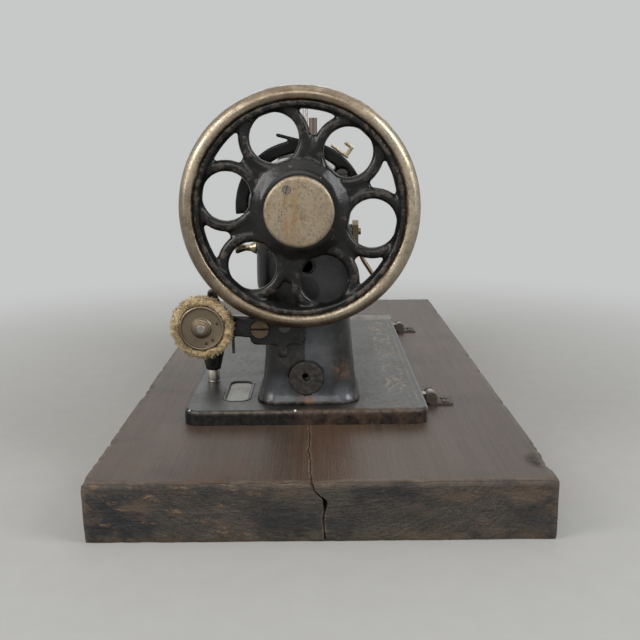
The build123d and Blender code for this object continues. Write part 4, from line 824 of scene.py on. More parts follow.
def cover_enamel():
    """The two round covers: the lower one rough and brown black, the upper one smoother and greyer."""
    f = Finish("pillar covers")
    _, _, z = f.axes()
    fine = f.noise(230.0, 5, 0.7)
    cloud = f.noise(60.0, 5, 0.6)
    upper = f.band(z, *BETWEEN_COVERS)
    low_colour = f.mix(f.band(fine, 0.35, 0.65), (0.010, 0.009, 0.008), (0.040, 0.033, 0.027))
    high_colour = f.mix(f.band(cloud, 0.3, 0.7), (0.030, 0.031, 0.032), (0.055, 0.056, 0.057))
    dark_side = f.fall(f.radius((0, *UPPER_SHADE), "X"), 9.2 * MM, 10.4 * MM)
    high_colour = f.mix(f.times(dark_side, 0.75), high_colour, (0.012, 0.012, 0.012))
    base = f.mix(upper, low_colour, high_colour)
    # Painted shade: the small holes are painted black.
    inside = hole_shade_mask(f)
    base = f.mix(inside, base, HOLE_SHADE)
    f.bump(fine, 0.4 * MM, f.band(z, *BETWEEN_COVERS, 0.8, 0.25))
    f.bump(cloud, 0.3 * MM, 0.35)
    rough = f.sum(f.band(z, *BETWEEN_COVERS, 0.52, 0.34), f.times(inside, 0.5), clamp=True)
    level = f.less(0.4, f.times(inside, 0.4))
    return f.done(Base_Color=base, Roughness=rough, Specular_IOR_Level=level)


def hole_shade_mask(f):
    """1 inside the small holes of the two covers and behind them, where shade is painted."""
    inside = 0.0
    for (across, height), radius, _ in COVER_HOLES:
        inside = f.most(f.fall(f.radius((0, across, height), "X"), radius, radius + 0.3 * MM), inside)
    return f.times(inside, f.band(f.axes()[0], 0.160, 0.161))


def pillar_painted_reflection(f):
    """Smoother enamel with a painted reflection, lighter bluish grey, down the middle of the pillar's near
    face, and at its foot.
    """
    x, y, z = f.axes()
    across = f.times(f.band(y, -10.6 * MM, -9.8 * MM), f.fall(y, 2 * MM, 15 * MM))
    upright = f.times(f.band(z, 58 * MM, 84 * MM, 0.55, 1.0), f.fall(z, 112 * MM, 122 * MM))
    reflection_share = f.times(f.times(across, upright), f.band(x, 0.168, 0.170))
    for centre, reach in REFLECTION_SPOTS:
        reflection_share = f.most(reflection_share, f.near(centre, reach, 0.1))
    return f.times(reflection_share, f.band(f.noise(60.0, 5, 0.65), 0.32, 0.62, 0.55, 1.0))


def bed_gilding(f):
    """Faint lining and worn scrolls along the back of the bed."""
    _, y, z = f.axes()
    inside_back = f.less(BED_EDGE_HIGH.y, y)
    line = f.times(f.band(inside_back, 5.0 * MM, 5.5 * MM), f.fall(inside_back, 6.6 * MM, 7.1 * MM))
    line = f.times(line, f.band(f.noise(60.0, 5, 0.7), 0.40, 0.66, 0.04, 0.42))
    wave = f.add("ShaderNodeTexWave", {
        "Vector": f.spread(scale=(0.6, 1, 0)), "Scale": 30.0, "Distortion": 16.0, "Detail": 3.0,
        "Detail Scale": 2.4,
    }, wave_type="RINGS", rings_direction="Z").outputs["Fac"]
    scroll = f.band(wave, 0.62, 0.90)
    zone = f.times(f.band(inside_back, 9 * MM, 12 * MM), f.fall(inside_back, 24 * MM, 30 * MM))
    scroll = f.times(f.times(scroll, zone), f.band(f.noise(45.0, 5, 0.7), 0.40, 0.60, 0.0, 0.5))
    top = f.band(z, BED_TOP - 1.5 * MM, BED_TOP - 0.5 * MM)
    return f.times(f.most(line, scroll), top)


def bed_enamel():
    """The bed's enamel: glossy but grey with handling, rust along the near edge."""
    own = iron_settings()
    f = Finish("bed enamel")
    x, y, z = f.axes()
    cloud = f.noise(30.0, 5, 0.6)
    fine = f.noise(240.0, 5, 0.7)
    rub = f.noise(1.0, 5, 0.7, place=f.spread(scale=(200, 60, 120)))
    base = f.mix(f.band(cloud, 0.35, 0.68), (0.012, 0.012, 0.011), (0.031, 0.029, 0.025))
    base = f.mix(f.band(rub, 0.56, 0.75, 0.0, 0.30), base, (0.085, 0.075, 0.062))
    base = f.mix(bed_gilding(f), base, own.gilt_colour)
    # Painted shade darkens the bed's side faces. Further down they are also made smoother.
    side_face_shade = f.fall(z, BED_TOP - 4.0 * MM, BED_TOP - 2.4 * MM)
    base = f.mix(f.times(side_face_shade, 0.8), base, (0.006, 0.006, 0.006))
    from_near = f.less(BED_EDGE_HIGH.x, x)
    rust = f.times(f.fall(from_near, 0.5 * MM, 7 * MM), f.band(y, -0.030, -0.005))
    rust = f.times(rust, f.band(f.noise(75.0, 6, 0.7), 0.36, 0.62))
    base = f.mix(f.times(rust, 0.62), base, (0.070, 0.036, 0.021))
    inside_front = f.less(y, BED_EDGE_LOW.y)
    inside_back = f.less(BED_EDGE_HIGH.y, y)
    rim = f.least(f.least(from_near, inside_front), inside_back)
    bare = f.times(f.fall(rim, 0.2 * MM, 2.2 * MM), f.band(fine, 0.40, 0.62))
    bare = f.times(bare, f.band(z, BED_TOP - 3.6 * MM, BED_TOP - 1.6 * MM, 0.12, 1.0))
    base = f.mix(f.times(bare, 0.7), base, own.worn_colour)
    glint = f.times(f.band(inside_back, 0.5 * MM, 1.0 * MM), f.fall(inside_back, 1.7 * MM, 2.3 * MM))
    base = f.mix(f.times(glint, f.band(cloud, 0.3, 0.6, 0.35, 0.75)), base, (0.15, 0.16, 0.175))
    chips = f.fall(f.cells(95.0), 0.035, 0.055)
    chips = f.times(chips, f.fall(rim, 1 * MM, 14 * MM))
    base = f.mix(chips, base, (0.42, 0.41, 0.38))
    # A painted glint and a chip of blank metal on the bed's edge.
    for centre, reach in EDGE_GLINT_AND_CHIP:
        base = f.mix(f.near(centre, reach, 0.6), base, (0.55, 0.55, 0.52))
    f.bump(f.noise(70.0, 3, 0.5), 0.25 * MM, 0.3)
    f.bump(fine, 0.12 * MM, 0.45)
    f.bump(f.most(rust, chips), 0.25 * MM, 0.5)
    rough = f.band(f.times(cloud, fine), 0.12, 0.42, 0.34, 0.52)
    rough = f.sum(rough, f.times(rust, 0.35), clamp=True)
    rough = f.less(rough, f.times(side_face_shade, 0.14), clamp=True)
    metal = f.times(bare, 0.6)
    return f.done(Base_Color=base, Roughness=rough, Metallic=metal, Specular_IOR_Level=0.30)


def arm_gilding(f):
    """A worn lining along the arm, over and under."""
    x, _, z = f.axes()
    height = f.less(z, WHEEL_Z)
    lines = 0.0
    for level in (17.0, -19.0):
        off = f.away(height, level * MM)
        lines = f.most(f.fall(off, 0.35 * MM, 0.75 * MM), lines)
    run = f.times(f.band(x, -0.055, -0.050), f.fall(x, 0.085, 0.095))
    return f.times(f.times(lines, run), f.band(f.noise(50.0, 5, 0.7), 0.36, 0.62, 0.0, 0.75))


def knob_stain(f):
    """Ochre runs down the stop knob, left of its middle."""
    _, y, z = f.axes()
    cloud = f.band(f.noise(120.0, 5, 0.7), 0.32, 0.62)
    run = 0.0
    for shift, wide in ((-8.5 * MM, 2.6 * MM), (-3.5 * MM, 4.0 * MM)):
        across = f.away(y, WHEEL_Y + shift)
        run = f.most(f.fall(across, 0.4 * MM, wide), run)
    tall = f.band(f.away(z, WHEEL_Z), 9 * MM, 20 * MM, 1.0, 0.35)
    return f.times(f.times(f.times(run, cloud), tall), 0.6), (0.27, 0.165, 0.07)


def pivot_slot_shade(f):
    """Painted shade in the pivot screw's slot and round the edge of its head."""
    _, _, z = f.axes()
    low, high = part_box("winder_pivot_screw")
    middle = (low + high) / 2
    slot = f.fall(f.away(z, middle.z), 0.45 * MM, 0.8 * MM)
    radius = (high.z - low.z) / 2
    edge = f.band(f.radius(middle, "X"), radius - 1.1 * MM, radius - 0.4 * MM)
    return f.times(f.most(slot, edge), 0.9), (0.016, 0.012, 0.010)


def rim_tarnish_and_shade(f):
    """Brown painted shade on the rim's lower left, over its top and along both of its edges, mottled like
    tarnish.
    """
    _, y, z = f.axes()
    low = f.fall(f.sum(y, z), WHEEL_Y + WHEEL_Z - 0.115, WHEEL_Y + WHEEL_Z - 0.020)
    low = f.times(low, f.band(f.noise(40.0, 5, 0.65), 0.28, 0.6, 0.35, 0.85))
    crown = f.band(f.less(z, WHEEL_Z), 52 * MM, 80 * MM)
    crown = f.times(crown, f.band(f.noise(75.0, 5, 0.7), 0.30, 0.58, 0.35, 0.8))
    low = f.most(low, crown)
    out = f.radius((WHEEL_X, WHEEL_Y, WHEEL_Z), "X")
    edges = f.most(f.band(out, WHEEL_R - 1.6 * MM, WHEEL_R - 0.3 * MM),
                   f.fall(out, WHEEL_R - 9.6 * MM, WHEEL_R - 7.6 * MM))
    edges = f.times(edges, f.band(f.noise(210.0, 5, 0.75), 0.34, 0.56, 0.35, 1.0))
    return f.most(low, edges), (0.11, 0.078, 0.052)


def fibre_stuff():
    """Golden fibre of the worn ring."""
    own = bpy.context.scene.machine_winder
    f = Finish("frayed fibre")
    shade_noise = f.noise(260.0, 5, 0.7)
    broad = f.noise(60.0, 3, 0.6)
    base = f.mix(f.band(shade_noise, 0.3, 0.7), tuple(c * 0.28 for c in own.fibre_colour), own.fibre_colour)
    base = f.mix(f.band(broad, 0.5, 0.7, 0.0, 0.5), base, (0.62, 0.52, 0.34))
    f.bump(shade_noise, 0.8 * MM, 0.9)
    return f.done(Base_Color=base, Roughness=0.85, Sheen_Weight=0.25)


def ebonite():
    """Black winding cup."""
    f = Finish("black ebonite")
    cloud = f.noise(180.0, 4, 0.6)
    base = f.mix(f.band(cloud, 0.4, 0.7), (0.006, 0.006, 0.007), (0.030, 0.027, 0.024))
    f.bump(cloud, 0.12 * MM, 0.4)
    return f.done(Base_Color=base, Roughness=f.band(cloud, 0.3, 0.7, 0.22, 0.42))


_made = {}


def rim_nickel():
    """Worn nickel of the rim, in the colour that the panel sets."""
    rim_colour = tuple(bpy.context.scene.machine_wheel.rim_colour)
    return bright_metal("rim nickel", rim_colour, 0.25, 0.6, streak=rim_tarnish_and_shade, pits=0.45, mottle=0.75)


# Each row is (name, colour, roughness, how stained, stain), and the last two may be left out.
METALS = {
    "stained_nickel": ("stop knob nickel", (0.33, 0.27, 0.195), 0.40, 0.5),
    "hinge_steel": ("hinge steel", (0.30, 0.26, 0.21), 0.32, 0.7, (0.07, 0.045, 0.03)),
    "hinge_leaf": ("hinge leaf", (0.062, 0.045, 0.033), 0.66, 0.6, (0.046, 0.032, 0.023)),
    "hinge_screws": ("hinge screws", (0.066, 0.052, 0.040), 0.56, 0.6, (0.04, 0.028, 0.02)),
    "dark_screws": ("dark screws", (0.20, 0.18, 0.165), 0.36, 0.6, (0.08, 0.05, 0.03)),
    "bare_plate": ("bare plate", (0.27, 0.27, 0.25), 0.5, 0.35),
    "nickel_plates": ("slide plates", (0.15, 0.138, 0.12), 0.36, 0.7, (0.06, 0.045, 0.035)),
    "face_nickel": ("face plate nickel", (0.46, 0.42, 0.36), 0.24, 0.5),
    "pivot_screw": ("pivot screw", (0.150, 0.112, 0.074), 0.34, 0.6, (0.07, 0.042, 0.026)),
    "iron_screws": ("iron screws", (0.105, 0.100, 0.094), 0.38, 0.5, (0.05, 0.038, 0.03)),
    "lifter_bronze": ("lifter bronze", (0.20, 0.155, 0.10), 0.30, 0.6, (0.09, 0.06, 0.035)),
    "worn_gold_nickel": ("worn gold nickel", (0.34, 0.285, 0.20), 0.28, 0.6, (0.22, 0.145, 0.07)),
    "clip_nickel": ("clip nickel", (0.56, 0.47, 0.34), 0.30, 0.4, (0.22, 0.145, 0.07)),
    "spool_pin_steel": ("spool pin steel", (0.17, 0.14, 0.12), 0.42),
    "bush_bronze": ("bush bronze", (0.42, 0.30, 0.15), 0.34),
    "bright_steel": ("oiled steel", (0.50, 0.49, 0.47), 0.26),
    "spindle_steel": ("spindle steel", (0.30, 0.28, 0.25), 0.28, 0.6),
    "tarnished_nickel": ("tarnished nickel", (0.19, 0.152, 0.108), 0.30, 0.6, (0.13, 0.09, 0.05)),
    "bright_nickel": ("post nickel", (0.42, 0.385, 0.33), 0.24, 0.3),
    "spring_steel": ("spring wire", (0.38, 0.37, 0.35), 0.30),
}
METAL_EXTRAS = {
    "stained_nickel": {"pits": 0.75, "mottle": 0.7, "turned": ((0, WHEEL_Y, WHEEL_Z), "X", 0.6 * MM),
                       "streak": knob_stain},
    "hinge_leaf": {"metallic": 0.0},
    "hinge_screws": {"metallic": 0.2},
    "bare_plate": {"metallic": 0.3},
    "pivot_screw": {"mottle": 0.4, "streak": pivot_slot_shade},
}
# Each row holds the values that differ from japanned's own.
ENAMELS = {
    "japanned_iron": {
        "name": "arm enamel", "painted": True, "gilt": arm_gilding, "panel": pillar_painted_reflection,
        "spots": RUST_SPOTS},
    # Its strong wear lightens the loops' ridges to brown: worn metal partly, painted highlight partly.
    "wheel_enamel": {
        "name": "wheel enamel", "painted": True, "tone": 0.8, "shine": 0.17, "dust": 0.08, "wear": 1.3,
        "level": 0.27},
    "guard_enamel": {
        "name": "belt guard enamel", "painted": True, "tone": 0.6, "shine": 0.20, "dust": 0.06, "rust": 0.1,
        "wear": 0.35, "level": 0.22},
    "winder_enamel": {
        "name": "winder enamel", "painted": True, "tone": 0.9, "shine": 0.20, "dust": 0.30, "rust": 0.2,
        "wear": 0.8, "level": 0.34},
    "small_enamel": {
        "name": "small castings enamel", "painted": True, "dust": 0.45, "rust": 0.30, "wear": 0.5,
        "level": 0.30},
    "oily_iron": {
        "name": "oily iron", "tone": 3.0, "shine": 0.34, "dust": 0.6, "rust": 0.5, "wear": 0.6},
}
OTHER_LOOKS = {
    "plank_wood": plank_wood,
    "japanned_bed": bed_enamel,
    "wheel_finish": rim_nickel,
    "dark_covers": cover_enamel,
    "frayed_tyre": fibre_stuff,
    "black_ebonite": ebonite,
}


def finish(name):
    """The material of that look, made once."""
    if name not in _made:
        if name in METALS:
            _made[name] = bright_metal(*METALS[name], **METAL_EXTRAS.get(name, {}))
        elif name in ENAMELS:
            _made[name] = japanned(**ENAMELS[name])
        else:
            _made[name] = OTHER_LOOKS[name]()
    return _made[name]


# Geometry-node trees


class Tree:
    """Builds one geometry-node group with named inputs. The last input is always the material."""

    def __init__(self, name, inputs):
        self.group = bpy.data.node_groups.new(name, "GeometryNodeTree")
        face = self.group.interface
        face.new_socket("Geometry", in_out="INPUT", socket_type="NodeSocketGeometry")
        for label, kind in (*inputs, ("Material", "Material")):
            face.new_socket(label, in_out="INPUT", socket_type="NodeSocket" + kind)
        face.new_socket("Geometry", in_out="OUTPUT", socket_type="NodeSocketGeometry")
        self.start = self.group.nodes.new("NodeGroupInput")
        self.end = self.group.nodes.new("NodeGroupOutput")

    def value(self, label):
        """One input of the group."""
        return self.start.outputs[label]

    def add(self, kind, inputs=None, **settings):
        """One node with its settings and inputs."""
        return add_node(self.group, kind, inputs, **settings)

    def circle(self, count, radius):
        """A round curve of that many points."""
        return self.add("GeometryNodeCurvePrimitiveCircle", {"Resolution": count, "Radius": radius},
                        mode="RADIUS").outputs[0]

    def tube(self, curve, count, radius, caps=False):
        """A round bar along the curve."""
        return self.add("GeometryNodeCurveToMesh", {
            "Curve": curve, "Profile Curve": self.circle(count, radius), "Fill Caps": caps,
        }).outputs[0]

    def set_round(self, shape):
        """The shape at Count places on a circle of radius Circle."""
        hoop = self.circle(self.value("Count"), self.value("Circle"))
        points = self.add("GeometryNodeCurveToPoints", {"Curve": hoop}, mode="EVALUATED")
        return self.add("GeometryNodeInstanceOnPoints", {
            "Points": points.outputs[0], "Instance": shape,
        }).outputs[0]

    def close(self, geometry):
        """Realize Instances and Set Material end every tree."""
        real = self.add("GeometryNodeRealizeInstances", {0: geometry})
        painted = self.add("GeometryNodeSetMaterial", {
            "Geometry": real.outputs[0], "Material": self.value("Material"),
        })
        self.group.links.new(painted.outputs[0], self.end.inputs[0])
        return self.group


def grown(name, tree, values, base=None):
    """A plain mesh that the tree makes with those input values."""
    obj = base or new_object(name, bpy.data.meshes.new(name))
    modifier = obj.modifiers.new("Grown", "NODES")
    modifier.node_group = tree
    for item in tree.interface.items_tree:
        if item.in_out == "INPUT" and item.name in values:
            modifier[item.identifier] = values[item.name]
    return baked(obj)


def loop_tree():
    """Rings of round section set in a circle round the hub."""
    tree = Tree("Looped spokes", [
        ("Count", "Int"), ("Circle", "Float"), ("Loop", "Float"), ("Section", "Float")])
    ring = tree.circle(64, tree.value("Loop"))
    return tree.close(tree.set_round(tree.tube(ring, 16, tree.value("Section"))))


def spring_tree():
    """A coil of wire along Z."""
    tree = Tree("Coil spring", [
        ("Turns", "Float"), ("Start radius", "Float"), ("End radius", "Float"), ("Height", "Float"),
        ("Wire", "Float")])
    coil = tree.add("GeometryNodeCurveSpiral", {
        "Resolution": 28, "Rotations": tree.value("Turns"), "Start Radius": tree.value("Start radius"),
        "End Radius": tree.value("End radius"), "Height": tree.value("Height"),
    })
    return tree.close(tree.tube(coil.outputs[0], 10, tree.value("Wire"), caps=True))


def fibre_tree():
    """Short curved fibres that stand out of a surface at odd angles."""
    tree = Tree("Loose fibres", [
        ("Count", "Float"), ("Length", "Float"), ("Thickness", "Float"), ("Seed", "Int")])
    surface, seed = tree.value("Geometry"), tree.value("Seed")
    scatter = tree.add("GeometryNodeDistributePointsOnFaces", {
        "Mesh": surface, "Density": tree.value("Count"), "Seed": seed,
    }, distribute_method="RANDOM")
    lean = tree.add("FunctionNodeRandomValue", {"Seed": seed}, data_type="FLOAT_VECTOR")
    lean.inputs[0].default_value = (-1.15, -1.15, 0.0)
    lean.inputs[1].default_value = (1.15, 1.15, 6.28)
    turned = tree.add("FunctionNodeRotateRotation", {
        "Rotation": scatter.outputs["Rotation"], "Rotate By": lean.outputs[0],
    }, rotation_space="LOCAL")
    size = tree.add("FunctionNodeRandomValue", {2: 0.45, 3: 1.25, "Seed": seed}, data_type="FLOAT")
    tall = tree.value("Length")
    half, bend = [tree.add("ShaderNodeMath", {0: tall, 1: share}, operation="MULTIPLY").outputs[0]
                  for share in (0.5, 0.32)]
    start, middle, end = [tree.add("ShaderNodeCombineXYZ", inputs).outputs[0]
                          for inputs in ({}, {"Z": half, "X": bend}, {"Z": tall})]
    hair = tree.add("GeometryNodeCurveQuadraticBezier", {
        "Resolution": 3, "Start": start, "Middle": middle, "End": end,
    })
    placed = tree.add("GeometryNodeInstanceOnPoints", {
        "Points": scatter.outputs[0], "Rotation": turned.outputs[0], "Scale": size.outputs[1],
        "Instance": tree.tube(hair.outputs[0], 3, tree.value("Thickness"), caps=True),
    })
    both = tree.add("GeometryNodeJoinGeometry")
    tree.group.links.new(placed.outputs[0], both.inputs[0])
    tree.group.links.new(surface, both.inputs[0])
    return tree.close(both.outputs[0])


def knurl_tree():
    """Small ribs round a turned edge."""
    tree = Tree("Edge ribs", [("Count", "Int"), ("Circle", "Float"), ("Rib", "Float"), ("Width", "Float")])
    rib = tree.add("GeometryNodeMeshCylinder", {
        "Vertices": 8, "Radius": tree.value("Rib"), "Depth": tree.value("Width"),
    })
    return tree.close(tree.set_round(rib.outputs[0]))


def laid(obj, to_x=False, to_y=False, turn=0.0, shift=(0, 0, 0)):
    """Turns a mesh made round Z to lie round X or Y, and moves it to its place."""
    matrix = Matrix.Rotation(turn, 4, "Z")
    if to_x:
        axes = Matrix(((0, 0, 1, 0), (1, 0, 0, 0), (0, 1, 0, 0), (0, 0, 0, 1)))
        matrix = axes @ matrix
    if to_y:
        matrix = Matrix.Rotation(math.radians(-90), 4, "X") @ matrix
    obj.data.transform(Matrix.Translation(Vector(shift)) @ matrix)
    obj.data.update()
    return obj


# Pieces


def well_of(points):
    """The low and high corner of the well, read from the inner walls of the plank's solid."""
    inner = points[(points[:, 2] < 1 * MM) & (points[:, 0] < 0.172) & (np.abs(points[:, 1]) < 0.12)]
    inner = inner[inner[:, 0] > PLANK_LOW.x + 20 * MM]
    return inner.min(0), inner.max(0)


def crack_at(place, own):
    """Signed distance from the crack's middle line, its half width, and how near its widest place is."""
    top_run = [(CRACK_START, -8.2 * MM), (0.215, -6.9 * MM), (0.238, -7.7 * MM), (0.262, -6.0 * MM),
               ((PLANK_HIGH.x - PLANK_LOW.x) / 2, -5.4 * MM)]
    end_run = in_mm([(3.7, 0.0), (1.6, 13), (2.9, 22), (2.2, 27), (-3.2, 33), (-5.4, 39)])
    on_top = np.interp(place[:, 0], [p[0] for p in top_run], [p[1] for p in top_run])
    on_end = np.interp(place[:, 2], [p[1] for p in end_run], [p[0] for p in end_run])
    depth = PLANK_HIGH.z - place[:, 2]
    inward = PLANK_HIGH.x - place[:, 0]
    share = np.clip(depth / np.maximum(depth + inward, 1e-6), 0, 1)
    line = on_top * (1 - share) + on_end * share
    jag = lumps(place * np.array([1, 0.2, 1]), 5 * MM, 3) * 0.7 * MM
    uneven = 0.45 * lumps(place * np.array([1, 0, 1]), 12 * MM, 8)
    gap = own.crack_width / 2 * (0.75 + 0.15 * share + uneven)
    chip = np.exp(-((place[:, 2] - 25.0 * MM) / (3.2 * MM)) ** 2) * (inward < 6 * MM)
    return place[:, 1] - line - jag, gap + 1.0 * MM * chip, chip


def make_finer(plank, own):
    """Divides the skin near the crack twice, so that it can be pressed in."""
    bm = bmesh.new()
    bm.from_mesh(plank.data)
    for reach in (9 * MM, 5 * MM):
        bm.verts.ensure_lookup_table()
        place = np.array([vert.co[:] for vert in bm.verts])
        off = np.abs(crack_at(place, own)[0])
        skin = (place[:, 2] > PLANK_HIGH.z - 4 * MM) | (place[:, 0] > PLANK_HIGH.x - 4 * MM)
        close = (off < reach) & skin & (place[:, 0] > 0.176)
        edges = [edge for edge in bm.edges if close[edge.verts[0].index] and close[edge.verts[1].index]]
        bmesh.ops.subdivide_edges(bm, edges=edges, cuts=1, use_grid_fill=True)
        bmesh.ops.triangulate(bm, faces=[face for face in bm.faces if len(face.verts) > 4])
    bm.to_mesh(plank.data)
    bm.free()
    plank.data.update()


def worn_relief(place, normal, wear, from_knot):
    """How far the plank's skin stands out: waves of the grain, chipped edges and the hollow at the knot."""
    push = 0.35 * MM * lumps(place * np.array([0.3, 1, 1]), 30 * MM, 1)
    push += 0.16 * MM * lumps(place * np.array([0.2, 1, 1]), 7 * MM, 2)
    end_face = np.abs(normal[:, 0]) > 0.7
    rough = 0.35 * MM * lumps(place, 6 * MM, 4) + 0.25 * MM * lumps(place, 3.5 * MM, 6)
    push += np.where(end_face, rough, 0)
    chips = np.clip(lumps(place, 13 * MM, 7) * 0.6 + lumps(place, 5 * MM, 9) * 0.5 - 0.18, 0, 1)
    upper = np.clip((place[:, 2] - 12 * MM) / (18 * MM), 0.3, 1)
    corner = np.clip((np.abs(place[:, 1]) - 136 * MM) / (4 * MM), 0, 1) * end_face
    push -= wear * chips * (2.6 - 1.6 * corner) * MM * upper
    low_edge = end_face & (place[:, 2] < 6 * MM)
    push -= np.where(low_edge, np.clip(lumps(place, 8 * MM, 12) - 0.05, 0, 1) * 1.1 * MM, 0)
    hollow = np.clip(1 - from_knot / (9 * MM), 0, 1)
    return push - 4.2 * MM * hollow * (0.8 + 0.5 * lumps(place, 3 * MM, 10))


def build_plank():
    """The plank with its well, growth rings, worn edges and drying crack."""
    own = bpy.context.scene.machine_plank
    plank = block("plank", PLANK_HIGH - PLANK_LOW, (PLANK_LOW + PLANK_HIGH) / 2)
    low, high = well_of(points_of(frame["nodes"]["base_board"]))
    middle = (low + high) / 2
    well = block("well", (*(high - low)[:2], 0.2), (middle[0], middle[1], 0.02), corner=10 * MM)
    remeshed(cut(plank, [well]), 2.2 * MM, 1)
    make_finer(plank, own)
    place = points_of(plank)
    normal = normals_of(plank)
    wear = edge_wear(plank, 0.9)
    from_knot = np.linalg.norm((place - np.array(KNOT)) * np.array([0.6, 1, 1]), axis=1)
    push = worn_relief(place, normal, wear, from_knot)
    off, gap, chip = crack_at(place, own)
    facing = (normal[:, 2] > 0.2) | (normal[:, 0] > 0.2)
    along = (place[:, 0] > CRACK_START) & facing & (place[:, 2] > 0.5 * MM)
    split = np.clip(1 - np.abs(off) / np.maximum(gap, 0.9 * MM), 0, 1) * along
    fade = np.clip((place[:, 0] - CRACK_START) / (25 * MM), 0.25, 1)
    push -= own.crack_depth * np.clip(split * 1.4, 0, 1) * fade * (0.13 + 0.87 * chip)
    lip = np.clip(1 - np.abs(np.abs(off) - gap - 1 * MM) / (2.2 * MM), 0, 1) * along
    push += 0.3 * MM * lip * (lumps(place, 8 * MM, 11) > 0)
    push_out(plank, np.minimum(push, 0.4 * MM))
    put_points(plank, np.clip(points_of(plank), np.array(PLANK_LOW), np.array(PLANK_HIGH)))
    paint(plank, "wear", wear)
    paint(plank, "knot", np.clip(1.6 * (1 - from_knot / (10 * MM)), 0, 1))
    paint(plank, "crack_side", 0.5 + off / CRACK_SPAN)
    paint(plank, "crack_half", gap / (CRACK_SPAN / 2))
    paint(plank, "crack_run", along.astype(float))
    mark(shade(plank, 50), "base_board", finish("plank_wood"))


def build_bed():
    """The iron bed, its plates and the rim round the number plate."""
    for node in ("bed_plate", "bed_underframe"):
        dressed(node, "japanned_bed", angle=30)
    dress_all(("number_plate", 0.25), ("needle_plate", 0.25), ("front_slide_plate", 0.25),
              ("rear_slide_plate", 0.25))
    number_frame()


def number_frame():
    """The bevelled rim round the bare number plate."""
    middle = middle_of("number_plate")
    half = span_of("number_plate") / 2
    bm = bmesh.new()
    rings = []
    steps = in_mm([(-0.2, -0.35), (0.9, 0.45), (1.9, 0.42), (2.7, -0.02), (2.7, -0.6), (-0.2, -0.6)])
    for grow, height in steps:
        corner = 6 * MM + grow
        ring = []
        for quarter, (sign_x, sign_y) in enumerate(((1, 1), (-1, 1), (-1, -1), (1, -1))):
            for step in range(9):
                angle = math.radians(90 * quarter + 90 * step / 8)
                ring.append(bm.verts.new((
                    middle.x + sign_x * (half.x + grow - corner) + corner * math.cos(angle),
                    middle.y + sign_y * (half.y + grow - corner) + corner * math.sin(angle),
                    BED_TOP + height)))
        rings.append(ring)
    count = len(rings[0])
    for first, second in zip(rings, rings[1:] + rings[:1]):
        for index in range(count):
            after = (index + 1) % count
            bm.faces.new((first[index], first[after], second[after], second[index]))
    obj = shade(from_bmesh("number_plate_frame", bm), 50)
    obj.data.materials.append(finish("small_enamel"))
    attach(obj, "head")


def build_casting():
    """The pillar and arm: seats behind the two covers, cast skin, and a foot that spreads on the bed."""
    arm = remeshed(frame_copy("arm_casting"), iron_settings().cast_grain)
    points = points_of(arm)
    for (across, height), radius in COVER_SEATS:
        behind = np.hypot(points[:, 1] - across, points[:, 2] - height) < radius - 0.6 * MM
        points[behind & (points[:, 0] > PILLAR_FACE), 0] -= SEAT_DEPTH
    put_points(arm, points)
    normals = normals_of(arm)
    low_points = points[points[:, 2] < BED_TOP + FOOT_RISE]
    middle = (low_points.min(0) + low_points.max(0)) / 2
    outward = np.einsum("ij,ij->i", (points - middle)[:, :2], normals[:, :2]) > 0
    foot = np.clip(1 - (points[:, 2] - BED_TOP) / FOOT_RISE, 0, 1) ** 2
    sideways = np.hypot(normals[:, 0], normals[:, 1])
    push = 0.16 * MM * cast_noise(points) + FOOT_SPREAD * foot * sideways * outward
    put_points(arm, points + normals * push[:, None])
    paint(arm, "wear", edge_wear(arm))
    mark(arm, "arm_casting", finish("japanned_iron"))


def build_covers():
    """The two round covers with their small holes, the lower one rough."""
    covers = frame_copy("pillar_covers")
    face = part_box("pillar_covers")[1].x
    drilled(covers, [((face - back, across, height), radius, 1.9 * MM)
                     for (across, height), radius, back in COVER_HOLES])
    remeshed(covers, 0.45 * MM, 1)
    points = points_of(covers)
    push_out(covers, 0.16 * MM * lumps(points, 2.5 * MM, 41) * (points[:, 2] < BETWEEN_COVERS[0]))
    mark(covers, "pillar_covers", finish("dark_covers"))


def build_arm():
    """The arm casting and what is fixed to it."""
    build_casting()
    dressed("belt_guard", "guard_enamel", voxel=0.9 * MM, grit=0.12 * MM)
    build_covers()
    dress_all(("face_plate", 0.3, "face_nickel"), ("bushes", 0), ("spool_pin", 0.6))
    clip = remeshed(frame_copy("winder_thread_clip"), 0.35 * MM, 1)
    push_out(clip, 0.45 * MM)
    mark(clip, "winder_thread_clip", finish("clip_nickel"))
    dress_all(("stitch_regulator", 0.2), ("arm_bolts", 0.3), ("plate_screws", 0.15),
              ("casting_screws", 0.2, "iron_screws"))


def wheel_stem(index, own, centre):
    """The flat swelling between two loops."""
    bm = bmesh.new()
    bmesh.ops.create_uvsphere(bm, u_segments=24, v_segments=16, radius=1.0)
    bmesh.ops.scale(bm, vec=(14.5 * MM, 8.3 * MM, 3.1 * MM), verts=bm.verts)
    bmesh.ops.translate(bm, vec=(36.5 * MM, 0, 0), verts=bm.verts)
    angle = own.first_angle + math.pi / own.spokes + 2 * math.pi * index / own.spokes
    return laid(from_bmesh("stem", bm), to_x=True, turn=angle, shift=centre)


